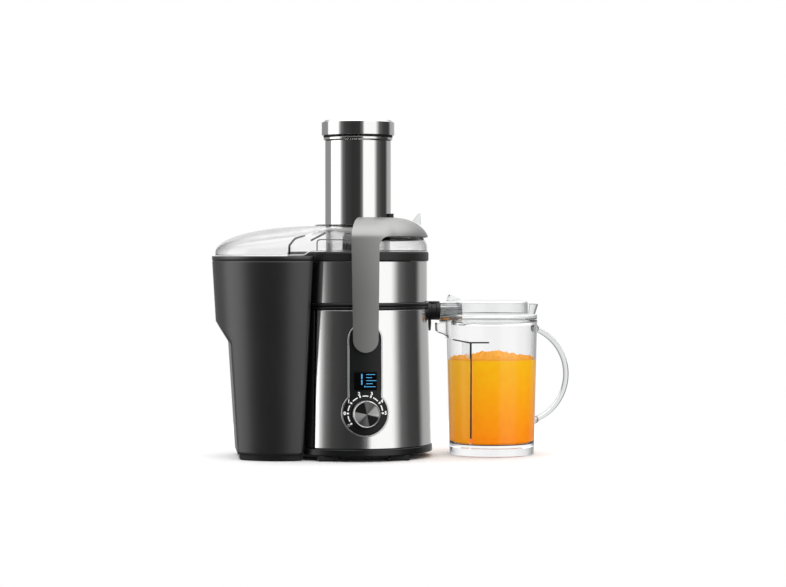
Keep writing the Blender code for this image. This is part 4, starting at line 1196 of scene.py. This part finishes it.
@dataclass
class LockingArm:
    """One pressed sheet: a half dome round the chute with a leg in front and one behind."""

    shop: Workshop
    outer_x: float = 88.0
    outer_y: float = 97.0
    inner_x: float = 46.0
    edge_z: float = 274.0
    rise: float = 24.0
    pivot_z: float = 148.5
    half_low: float = 15.5
    half_top: float = 17.0
    fillet_r: float = 13.0
    wall: float = 3.0
    strap_share: float = 0.5
    leg_share: float = 0.55
    left_pull: float = 0.2
    lean: float = 0.3
    bend_z: float = 205.0
    bend: float = 4.4
    flatness: float = 0.7
    parked: float = 200.0

    def lower_end(self, side: float, x: float) -> float:
        """Height of the sheet's lower edge.

        Args:
            side: Place across the strap from -1 to 1, or more than 1 beyond it.
            x: Distance from the motor's axis at the outer edge, in millimetres.

        Returns:
            A height in millimetres.
        """
        if side <= 1.0:
            return self.pivot_z - self.half_low * math.sqrt(max(0.0, 1.0 - side * side))
        reach = min(self.fillet_r, max(0.0, self.half_top + self.fillet_r - x))
        return self.edge_z + 0.3 - self.fillet_r + math.sqrt(self.fillet_r ** 2 - reach ** 2)

    def column(self, share: float) -> tuple[float, float, float]:
        """Place across the strap, and the angles of a column's outer and inner ends.

        Args:
            share: 0 at the strap's left edge, strap_share at its right edge, 1 at the tip.

        Returns:
            The place across the strap and the two angles in radians.
        """
        if share <= self.strap_share:
            side = -math.cos(math.pi * share / self.strap_share)
            x = side * self.half_top
            inner_x = x if x > 0.0 else x * self.left_pull
            return side, math.acos(x / self.outer_x), math.acos(inner_x / self.inner_x)
        beyond = (share - self.strap_share) / (1.0 - self.strap_share)
        beyond = beyond ** 1.4
        outer = math.acos(self.half_top / self.outer_x) * (1.0 - beyond)
        inner = math.acos(self.half_top / self.inner_x) * (1.0 - beyond)
        return 1.0 + beyond, outer, inner

    def bow(self, x: float) -> float:
        """Depth of the outer edge as a share of outer_y: nearly flat over the strap, round beyond it."""
        sine = math.sqrt(max(0.0, 1.0 - (x / self.outer_x) ** 2))
        fade = eased(1.0 - (abs(x) - self.half_top) / 24.0)
        return sine + self.flatness * (1.0 - sine) * fade

    def dome_point(self, outer: float, inner: float, share: float) -> tuple[float, float, float]:
        """A point of the dome part of a column, from its outer end (0) to its inner end (1).

        Args:
            outer: Angle of the column's outer end, in radians.
            inner: Angle of its inner end, in radians.
            share: Place along the column.

        Returns:
            The point in millimetres.
        """
        tip = share * math.pi / 2.0
        inwards = (1.0 - self.lean) * (1.0 - math.cos(tip)) + self.lean * share
        out_x = self.outer_x * math.cos(outer)
        out_y = self.outer_y * self.bow(out_x)
        inner_y = self.inner_x * self.outer_y / self.outer_x
        x = out_x + (self.inner_x * math.cos(inner) - out_x) * inwards
        start_y = out_y - self.bend * math.sin(outer)
        y = start_y + (inner_y * math.sin(inner) - start_y) * inwards
        return x, y, self.edge_z + self.rise * math.sin(tip)

    def surface(self, across: float, along: float) -> Vector:
        """A point of the sheet: from the front leg round to the rear one, and from its end up and in.

        Below the half dome only the strap exists; points of the other columns are parked far out.

        Args:
            across: Share of the way from the front leg round to the rear one.
            along: Share of the way from the sheet's lower end to its inner edge.

        Returns:
            The point in the frame's coordinates.
        """
        front = across <= 0.5
        side, outer, inner = self.column(2.0 * across if front else 2.0 * (1.0 - across))
        out_x = self.outer_x * math.cos(outer)
        shoulder = self.edge_z + 0.3 - self.fillet_r
        if along < self.leg_share:
            low = self.lower_end(side, out_x)
            z = low + (shoulder - low) * along / self.leg_share
            if side > 1.0:
                return at(out_x, -self.parked if front else self.parked, z)
        else:
            low = shoulder if side <= 1.0 else self.lower_end(side, out_x)
            dome_length = 1.3 * (self.outer_x - self.inner_x)
            travel = (along - self.leg_share) / (1.0 - self.leg_share) * (self.edge_z - low + dome_length)
            z = low + travel
            if z > self.edge_z:
                x, y, z = self.dome_point(outer, inner, min(1.0, (z - self.edge_z) / dome_length))
                return at(x, -y if front else y, z)
        x = out_x
        if side <= 1.0:
            taper = min(1.0, max(0.0, (z - self.pivot_z) / (shoulder - self.pivot_z)))
            x = side * (self.half_low + (self.half_top - self.half_low) * taper)
        leaned = max(0.0, (z - self.bend_z) / (self.edge_z - self.bend_z))
        y = self.outer_y * self.bow(x) - self.bend * math.sin(outer) * leaned * leaned
        return at(x, -y if front else y, z)

    def build(self) -> None:
        """Build the sheet, its clear tab and leave the pivots to the frame."""
        sheet = warped(168, 60, self.surface, 2e-5)
        far = (self.outer_y + 5.0) * MM
        parked = [vert for vert in sheet.verts if abs(vert.co.y - AXIS.y) > far]
        bmesh.ops.delete(sheet, geom=parked, context="VERTS")
        bmesh.ops.recalc_face_normals(sheet, faces=sheet.faces)
        self.shop.publish("arm_pressing", sheet, SATIN_PRESSING, Body.ARM, ["locking_arm"], wall_mm=self.wall,
                          edge_mm=0.6)
        tab = plate(fillet([(69.0, 294.4, 0.5), (79.4, 289.0, 0.5), (79.0, 303.5, 0.5), (76.6, 303.5, 0.5)],
                           True),
                    -1.5, 1.5, 0.4)
        self.shop.publish("arm_clear_tab", tab, CLEAR_ROD, Body.ARM, ["arm_tab"])


# ---------------------------------------------------------------- pulp bin

@dataclass
class PulpBin:
    """The bin that hugs the motor housing, with its finger recess; sizes in millimetres."""

    shop: Workshop
    centre_x: float = -97.0
    low_r: float = 71.5
    top_r: float = 86.0
    top_z: float = 250.0
    hollow_r: float = 94.2
    corner_r: float = 7.0
    wall: float = 2.5
    arc_steps: int = 96
    corner_steps: int = 10
    hollow_steps: int = 26
    grip: tuple[Point, ...] = ((-178.0, 168.0), (-161.5, 142.0), (-152.6, 0.0))

    def grip_face(self, z: float) -> float:
        """How far left the bin reaches at a height, where the finger recess cuts it.

        Args:
            z: Height in millimetres.

        Returns:
            A distance along X in millimetres.
        """
        if z >= self.grip[0][1]:
            return self.grip[0][0] - 4.0 * (z - self.grip[0][1]) - 6.0
        for (high_x, high_z), (low_x, low_z) in zip(self.grip, self.grip[1:]):
            if z >= low_z:
                return low_x + (high_x - low_x) * (z - low_z) / (high_z - low_z)
        return self.grip[-1][0]

    def outline(self, z: float, inset: float) -> list[Point]:
        """Plan outline at a height, drawn in by an inset: outer circle, hollow, rounded corners.

        Args:
            z: Height in millimetres.
            inset: How far the outline is drawn in.

        Returns:
            Points of (x, y) in millimetres.
        """
        outer = self.low_r + (self.top_r - self.low_r) * z / self.top_z - inset
        hollow = self.hollow_r + inset
        corner = max(1.5, self.corner_r - inset)
        reach = -self.centre_x
        near = hollow + corner
        far = outer - corner
        along = (reach * reach + near * near - far * far) / (2.0 * reach)
        cx = -along
        cy = math.sqrt(max(0.0, near * near - along * along))
        to_hollow = math.degrees(math.atan2(-cy, -cx))
        to_outer = math.degrees(math.atan2(cy, cx - self.centre_x))
        inner_turn = math.degrees(math.atan2(cy, cx))
        points = arc((0.0, 0.0), hollow, 360.0 - inner_turn, inner_turn, self.hollow_steps)[1:-1]
        points += self.corner(cx, cy, corner, to_hollow, to_outer)
        points += arc((self.centre_x, 0.0), outer, to_outer, 360.0 - to_outer, self.arc_steps)[1:-1]
        mirrored = [(x, -y) for x, y in self.corner(cx, cy, corner, to_hollow, to_outer)]
        points += mirrored[::-1]
        face = self.grip_face(z) + inset
        edge = 1.0
        return [(x + edge * math.log1p(math.exp(min(60.0, (face - x) / edge))), y) for x, y in points]

    def corner(self, cx: float, cy: float, radius: float, start: float, end: float) -> list[Point]:
        """A rounded corner from the hollow's side to the outer side, the short way round the outside.

        Args:
            cx: Centre of the corner along X.
            cy: Centre of the corner along Y.
            radius: Its radius in millimetres.
            start: Angle where it starts, in degrees.
            end: Angle where it ends.

        Returns:
            Points of (x, y) in millimetres.
        """
        while end < start:
            end += 360.0
        while end - start > 180.0:
            start += 360.0
        return arc((cx, cy), radius, start, end, self.corner_steps)

    def build(self) -> None:
        """Build the bin as one closed skin from its underside over the rim down to its floor."""
        rows: list[tuple[float, float, float]] = [
            (0.0, 3.0, 1.0), (0.0, 3.4, 0.5), (0.0, 3.0, 0.0), (0.5, 2.3, 0.0), (1.4, 2.0, 0.0),
            (6.2, 2.0, 0.0),
            (6.8, 1.6, 0.0), (7.0, 0.6, 0.0), (7.6, 0.0, 0.0)]
        rows += [(7.6 + (242.0 - 7.6) * step / 90.0, 0.0, 0.0) for step in range(1, 91)]
        rows += [(243.0, 0.0, 0.0), (243.5, 0.5, 0.0), (244.3, 0.5, 0.0), (244.8, 0.0, 0.0),
                 (249.4, 0.0, 0.0),
                 (249.9, 0.4, 0.0), (250.0, 0.9, 0.0), (250.0, 1.6, 0.0), (249.8, 2.1, 0.0),
                 (249.2, self.wall, 0.0)]
        rows += [(249.2 - (249.2 - 6.0) * step / 60.0, self.wall, 0.0) for step in range(1, 61)]
        rows += [(4.2, 3.4, 0.0), (3.4, 5.0, 0.0), (3.0, 7.5, 0.0), (3.0, 7.5, 0.5), (3.0, 7.5, 1.0)]
        outlines = [self.outline(z, inset) for z, inset, _ in rows]
        count = len(outlines[0])
        middle = (-125.0, 0.0)

        def place(across: float, along: float) -> Vector:
            """A point of the bin, round it by one share and up its rows by the other."""
            row = round(along * (len(rows) - 1))
            z, _, shrink = rows[row]
            x, y = outlines[row][round(across * count) % count]
            return at(x + (middle[0] - x) * shrink, y + (middle[1] - y) * shrink, z)

        bm = warped(count, len(rows) - 1, place)
        self.shop.publish("pulp_bin_shell", bm, TEXTURED_BIN, Body.BIN, ["pulp_bin"], crease=60.0)


# ---------------------------------------------------------------- jug

def eased(value: float) -> float:
    """A share from 0 to 1 with soft ends."""
    value = min(1.0, max(0.0, value))
    return value * value * (3.0 - 2.0 * value)


@dataclass
class JuiceJug:
    """Clear jug with skirt, pouring lip, bow handle, froth separator, juice and lid; millimetres."""

    shop: Workshop
    centre_x: float = 170.0
    base_r: float = 53.5
    top_r: float = 57.6
    top_z: float = 170.0
    wall: float = 2.5
    skirt_z: float = 11.5
    floor_z: float = 14.2
    lip_reach: float = 15.0
    lip_half: float = 16.0
    rim_dip: float = 4.0
    bow: tuple[float, float, float] = (203.8, 100.3, 61.7)
    rod_r: float = 3.5
    juice_z: float = 119.5
    split_left: float = 136.6
    split_right: float = 139.4
    wetting: float = 0.08

    def radius(self, z: float) -> float:
        """Outer radius of the jug at a height."""
        return self.base_r + (self.top_r - self.base_r) * z / self.top_z

    def build_body(self) -> None:
        """The wall with its hollow skirt, and the lip drawn out of the left side of the rim."""
        profile = [(0.0, self.skirt_z), (46.0, self.skirt_z), (49.0, self.skirt_z - 0.6),
                   (50.2, self.skirt_z - 2.0),
                   (50.6, 0.5), (51.0, 0.0), (53.0, 0.0), (53.5, 0.5)]
        steps = 56
        profile += [(self.radius(z), z) for z in
                    (0.5 + (self.top_z - 1.4) * step / steps for step in range(1, steps + 1))]
        profile += [(self.top_r - 0.5, self.top_z), (self.top_r - 1.9, self.top_z),
                    (self.top_r - 2.4, self.top_z - 0.6)]
        inner_low = self.floor_z + 3.0
        profile += [(self.radius(z) - self.wall, z) for z in
                    (self.top_z - 1.0 + (inner_low - self.top_z + 1.0) * step / steps for step in range(1,
                        steps + 1))]
        profile += [(self.radius(inner_low) - self.wall - 0.8, self.floor_z + 0.9),
                    (self.radius(inner_low) - self.wall - 2.8, self.floor_z), (0.0, self.floor_z)]
        bm = lathe(profile, False, (self.centre_x, 0.0), segments=144)
        for vert in bm.verts:
            place = (vert.co - AXIS) / MM
            if place.x > self.centre_x - 40.0 or place.z < 146.0:
                continue
            share = min(1.0, abs(place.y) / self.lip_half)
            crest = math.cos(share * math.pi / 2.0) ** 2
            pull = self.lip_reach * eased((place.z - 147.5) / 9.5) * crest
            dip = self.rim_dip * eased((place.z - 150.0) / 20.0) * eased(1.6 - share * 1.4)
            vert.co = at(place.x - pull, place.y, place.z - dip)
        self.shop.publish("jug_wall", bm, CLEAR_JUG, Body.JUG, ["jug", "jug_skirt"])
        # A real seat ring under the jug's floor, made near-black as a painted shadow line at the foot of the
        # juice.
        seat_r = self.radius(self.floor_z) - self.wall - 0.3
        seat = fillet([(seat_r - 4.0, self.floor_z - 0.3, 0.1), (seat_r, self.floor_z - 0.3, 0.1),
                       (seat_r, self.floor_z + 0.5, 0.2), (seat_r - 4.0, self.floor_z + 0.1, 0.1)], True)
        self.shop.publish("jug_floor_seat_painted_shadow_line", lathe(seat, True, (self.centre_x, 0.0)), SMOKED_RIB_AND_SHADE_LINE, Body.JUG)

    def build_handle(self) -> None:
        """The bent clear rod and the small bosses where it joins the wall."""
        centre_x, centre_z, bow_r = self.bow
        start = 70.6
        turn = 141.6
        bm = bmesh.new()
        middle = at(centre_x, 0.0, centre_z)
        made = bmesh.ops.create_circle(bm, segments=28, radius=self.rod_r * MM, cap_ends=True)
        bmesh.ops.scale(bm, verts=made["verts"], vec=(1.0, 1.35, 1.0))
        bmesh.ops.translate(bm, verts=made["verts"], vec=at(centre_x + bow_r, 0.0, centre_z))
        bmesh.ops.rotate(bm, verts=bm.verts, cent=middle,
                         matrix=Matrix.Rotation(math.radians(-start), 3, "Y"))
        bmesh.ops.spin(bm, geom=bm.faces[:], cent=middle, axis=(0.0, 1.0, 0.0), dvec=(0.0, 0.0, 0.0),
                       angle=math.radians(turn), steps=72, use_merge=False, use_duplicate=False)
        bmesh.ops.recalc_face_normals(bm, faces=bm.faces)
        bosses = []
        for angle in (start, start - turn):
            x = centre_x + bow_r * math.cos(math.radians(angle))
            z = centre_z + bow_r * math.sin(math.radians(angle))
            boss = bmesh.new()
            bmesh.ops.create_uvsphere(boss, u_segments=32, v_segments=16, radius=1.0)
            bmesh.ops.scale(boss, verts=boss.verts, vec=Vector((5.0, 6.5, 5.2)) * MM)
            bmesh.ops.translate(boss, verts=boss.verts, vec=at(x + 1.2, 0.0, z))
            bosses.append(boss)
        self.shop.publish("jug_bow_handle", joined(bm, *bosses), CLEAR_ROD, Body.JUG, ["jug_handle"])

    def build_separator(self) -> None:
        """The thin wall that holds back froth, with its bent flange on top."""
        outline = fillet([(136.8, 22.0, 0.4), (139.2, 22.0, 0.4), (139.2, 141.0, 0.4), (161.0, 141.0, 0.5),
                          (161.0, 142.8, 0.5), (137.0, 142.8, 0.5), (115.0, 146.8, 0.5), (115.0, 145.2, 0.5),
                          (136.8, 141.0, 0.4)], True)
        self.shop.publish("jug_separator", plate(outline, -34.8, 36.0), CLEAR_SHEET, Body.JUG,
                          ["froth_separator"])
        # A near-black strip on the separator's front edge: painted shade for the dark line that the clear
        # sheet shows when seen edgewise.
        self.shop.publish("jug_separator_painted_edge_shade", plate(outline, -36.0, -34.8), SMOKED_RIB_AND_SHADE_LINE, Body.JUG)

    def half_disc(self, bm: bmesh.types.BMesh, x: float, keep_left: bool) -> bmesh.types.BMesh:
        """Cut a closed mesh at an upright plane and close the cut.

        Args:
            bm: The mesh to cut.
            x: Place of the plane in millimetres.
            keep_left: Whether the left part stays.

        Returns:
            The same mesh, cut.
        """
        side = 1.0 if keep_left else -1.0
        cut = bmesh.ops.bisect_plane(bm, geom=bm.verts[:] + bm.edges[:] + bm.faces[:], dist=1e-7,
                                     plane_co=at(x, 0.0, 0.0), plane_no=(side, 0.0, 0.0), clear_outer=True)
        edges = [item for item in cut["geom_cut"] if isinstance(item, bmesh.types.BMEdge)]
        bmesh.ops.holes_fill(bm, edges=edges)
        bmesh.ops.recalc_face_normals(bm, faces=bm.faces)
        return bm

    def column_of_juice(self) -> bmesh.types.BMesh:
        """Juice that fills the jug to its level."""
        low = self.floor_z + 0.15
        low_r = self.radius(low) - self.wall - 2.6
        knee_r = self.radius(low + 3.0) - self.wall + self.wetting
        high_r = self.radius(self.juice_z) - self.wall + self.wetting
        return lathe([(0.0, low), (low_r, low), (knee_r, low + 3.0), (high_r, self.juice_z),
                      (0.0, self.juice_z)],
                     False, (self.centre_x, 0.0), segments=120)

    def froth(self) -> bmesh.types.BMesh:
        """Froth heaped on the juice, highest in the middle."""
        outer = self.radius(self.juice_z) - self.wall - 0.2
        rings = 40
        profile = [(0.0, self.juice_z + 0.05)] + [(outer, self.juice_z + 0.05)]
        profile += [(outer * (1.0 - ring / rings), self.juice_z + 2.0) for ring in range(rings + 1)]
        bm = lathe(profile, False, (self.centre_x, 0.0), segments=180)
        for vert in bm.verts:
            place = (vert.co - AXIS) / MM
            if place.z < self.juice_z + 1.0:
                continue
            reach = math.hypot(place.x - self.centre_x, place.y) / outer
            heap = 6.0 * eased(1.0 - abs(place.x - 176.0) / 44.0) * eased(1.3 - reach)
            lumps = noise.turbulence(Vector((place.x, place.y, 0.0)) * 0.16, 4, False) * 4.4
            rise = (heap + lumps) * eased((1.0 - reach) * 9.0 + 0.35)
            vert.co = at(place.x, place.y, place.z + rise)
        return bm

    def build_juice(self) -> None:
        """The two compartments of juice and the froth on each."""
        left = self.half_disc(self.column_of_juice(), self.split_left, True)
        right = self.half_disc(self.column_of_juice(), self.split_right, False)
        self.shop.publish("juice_left", left, THIN_JUICE, Body.JUG)
        self.shop.publish("juice_right", right, ORANGE_JUICE, Body.JUG)
        froth = joined(self.half_disc(self.froth(), self.split_left, True),
                       self.half_disc(self.froth(), self.split_right, False))
        self.shop.publish("juice_froth", froth, JUICE_FROTH, Body.JUG)

    def build_cover(self) -> None:
        """The jug's raised lid with its spout notch, splash guard and thumb scoop."""
        skin = fillet([(0.0, 193.8, 0.0), (45.6, 193.8, 4.5), (46.0, 177.4, 2.0), (57.4, 176.2, 1.6),
                       (57.6, 170.6, 0.8), (54.4, 170.6, 0.5), (54.2, 163.6, 0.0)], False, 8)
        dome = lathe(skin, False, (self.centre_x, 0.0), segments=144)
        gone = []
        for face in dome.faces:
            place = (face.calc_center_median() - AXIS) / MM
            if place.x < 134.0 and abs(place.y) < 13.2 and place.z < 191.6:
                gone.append(face)
        bmesh.ops.delete(dome, geom=gone, context="FACES")
        self.shop.publish("jug_cover_dome", dome, CLEAR_COVER, Body.JUG_COVER, ["jug_lid"], wall_mm=1.6)
        guard = plate(fillet([(113.0, 193.0, 0.4), (115.4, 201.6, 0.5), (130.0, 195.4, 0.5),
                              (124.0, 192.0, 0.4)],
                             True), -9.0, 9.0, 0.4)

        def scoop(across: float, along: float) -> Vector:
            """A point of the pouring scoop, round it by one share and up it by the other."""
            turn = math.radians(-84.0 + 168.0 * across)
            flare = 1.0 + 0.36 * along
            return at(214.6 + 11.0 * flare * math.cos(turn), 11.0 * flare * math.sin(turn),
                      176.4 + 12.6 * along)

        lip = warped(36, 10, scoop)
        bmesh.ops.solidify(lip, geom=lip.faces[:], thickness=1.4 * MM)
        self.shop.publish("jug_cover_guard", joined(guard, lip), CLEAR_COVER, Body.JUG_COVER)

    def build(self) -> None:
        """Build the jug, what is in it, and its lid, and keep its orange out of the steel's reflections."""
        before = set(bpy.data.objects)
        self.build_body()
        self.build_handle()
        self.build_separator()
        self.build_juice()
        self.build_cover()
        for piece in bpy.data.objects:
            if piece not in before:
                piece.visible_glossy = False


# ---------------------------------------------------------------- inside, and the studio

@dataclass
class Inside:
    """Motor parts and pivots whose frame shapes stay, given their real materials."""

    shop: Workshop

    def dress(self) -> None:
        """Give every carried-over part its finish."""
        by_finish = (
            (GROUND_STEEL, ("motor_shaft", "bearing_lower", "bearing_upper", "hub_seal")),
            (LAMINATED_IRON, ("stator_core", "rotor_core")),
            (WOUND_COPPER, ("field_winding_lower", "field_winding_upper", "commutator")),
            (PRESSED_CARBON, ("carbon_brush_left", "carbon_brush_right")),
            (SOLDER_MASK, ("control_board",)),
            (WINDOW_BLACK, ("display_module",)),
            (SATIN_PRESSING, ("motor_bracket_lower", "motor_bracket_upper", "arm_pin_front", "arm_pin_rear")),
            (BLACK_ABS, ("brush_holder_left", "brush_holder_right", "cooling_fan", "drive_coupling",
                         "dial_encoder", "interlock_switch")),
            (CHARCOAL_ABS, ("motor_chassis",)),
        )
        for finish, nodes in by_finish:
            self.shop.redress(finish, *nodes)


@dataclass
class Studio:
    """White floor, a ring of soft panels round the object and the camera; sizes in millimetres."""

    shop: Workshop
    eye: tuple[float, float, float] = (-255.0, -2602.0, 250.0)
    tilt: float = 88.97
    turn: float = -6.56
    lens: float = 95.3
    bearing: float = 5.6
    floor_r: float = 560.0

    def build_world(self) -> None:
        """Panels of different brightness by compass direction, as wide soft boxes would stand."""
        world = bpy.data.worlds.new("studio")
        bpy.context.scene.world = world
        world.use_nodes = True
        tree = world.node_tree
        tree.nodes.clear()
        place = add_node(tree, "TexCoord")
        split = add_node(tree, "SeparateXYZ", links={0: place.outputs["Generated"]})
        back = add_node(tree, "Math", {"operation": "MULTIPLY", 1: -1.0}, {0: split.outputs["Y"]})
        bearing = add_node(tree, "Math", {"operation": "ARCTAN2"},
                           {0: split.outputs["X"], 1: back.outputs[0]})
        share = add_node(tree, "Math", {"operation": "MULTIPLY_ADD", 1: 1.0 / FULL_TURN,
                                        2: 0.5 + self.bearing / 360.0},
                         {0: bearing.outputs[0]})
        wrapped = add_node(tree, "Math", {"operation": "FRACT"}, {0: share.outputs[0]})
        ramp = add_node(tree, "ValToRGB", links={0: wrapped.outputs[0]})
        bands = ((-180, 1.0), (-165, 1.0), (-158, 0.32), (-118, 0.32), (-109, 0.4), (-104, 1.75), (-67, 1.6),
                 (-61, 0.6), (-54, 0.17), (-42, 0.06), (-17, 0.035), (5, 0.04), (15, 0.2), (20, 1.2),
                 (57, 1.2),
                 (64, 0.6), (71, 0.15), (88, 0.06), (112, 0.045), (117, 0.2), (125, 0.45), (158, 0.53),
                 (165, 0.9),
                 (180, 1.0))
        stops = ramp.color_ramp.elements
        while len(stops) < len(bands):
            stops.new(0.5)
        for stop, (bearing_deg, bright) in zip(stops, bands):
            stop.position = (bearing_deg + 180.0) / 360.0
            stop.color = (bright, bright, bright, 1.0)
        below = add_node(tree, "MapRange", {"From Min": -0.34, "From Max": -0.16, "To Min": 0.1},
                         {"Value": split.outputs["Z"]})
        panels = add_node(tree, "Mix", {"data_type": "RGBA", "blend_type": "MULTIPLY", 0: 1.0})
        tree.links.new(ramp.outputs["Color"], panels.inputs[6])
        tree.links.new(below.outputs["Result"], panels.inputs[7])
        height = add_node(tree, "MapRange", {"interpolation_type": "SMOOTHSTEP", "From Min": 0.38,
                                             "From Max": 0.8},
                          {"Value": split.outputs["Z"]})
        whole = add_node(tree, "Mix", {"data_type": "RGBA"}, {0: height.outputs["Result"]})
        tree.links.new(panels.outputs[2], whole.inputs[6])
        whole.inputs[7].default_value = (1.8, 1.8, 1.8, 1.0)
        path = add_node(tree, "LightPath")
        seen = add_node(tree, "Mix", {"data_type": "RGBA"}, {0: path.outputs["Is Camera Ray"]})
        tree.links.new(whole.outputs[2], seen.inputs[6])
        seen.inputs[7].default_value = (1.0, 1.0, 1.0, 1.0)
        light = add_node(tree, "Background", links={"Color": seen.outputs[2]})
        add_node(tree, "OutputWorld", links={"Surface": light.outputs[0]})

    def build_floor(self) -> None:
        """A plain pale disc under the object."""
        bm = bmesh.new()
        bmesh.ops.create_circle(bm, segments=160, radius=self.floor_r * MM, cap_ends=True)
        mesh = bpy.data.meshes.new("studio_floor")
        bm.to_mesh(mesh)
        bm.free()
        floor = bpy.data.objects.new("studio_floor", mesh)
        bpy.context.scene.collection.objects.link(floor)
        floor.location = (0.0, 0.0, -0.0005)
        floor.visible_glossy = False
        floor.data.materials.append(self.shop.material(STUDIO_PAPER))

    def build_camera(self) -> None:
        """The camera in front, a little to the left and just above the lid."""
        data = bpy.data.cameras.new("studio_camera")
        data.lens = self.lens
        data.sensor_width = 36.0
        data.clip_end = 50.0
        camera = bpy.data.objects.new("studio_camera", data)
        bpy.context.scene.collection.objects.link(camera)
        camera.location = at(*self.eye)
        camera.rotation_euler = (math.radians(self.tilt), 0.0, math.radians(self.turn))
        bpy.context.scene.camera = camera

    def build(self) -> None:
        """Build the studio."""
        self.build_world()
        self.build_floor()
        self.build_camera()
        bpy.context.scene.view_settings.view_transform = "Standard"


def write_sizes() -> None:
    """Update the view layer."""
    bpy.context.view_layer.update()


def main() -> None:
    """Build every sub-assembly in order."""
    logging.basicConfig(level=logging.INFO, format="%(name)s: %(message)s")
    shop = Workshop({})
    housing = MotorHousing(shop)
    housing.build()
    ControlPanel(shop, housing).build()
    JuiceBowl(shop).build()
    ClearLid(shop).build()
    FeedChute(shop).build()
    LockingArm(shop).build()
    PulpBin(shop).build()
    JuiceJug(shop).build()
    Inside(shop).dress()
    Studio(shop).build()
    write_sizes()
    log.info("%d pieces", shop.made)


if __name__ == "__main__":
    main()
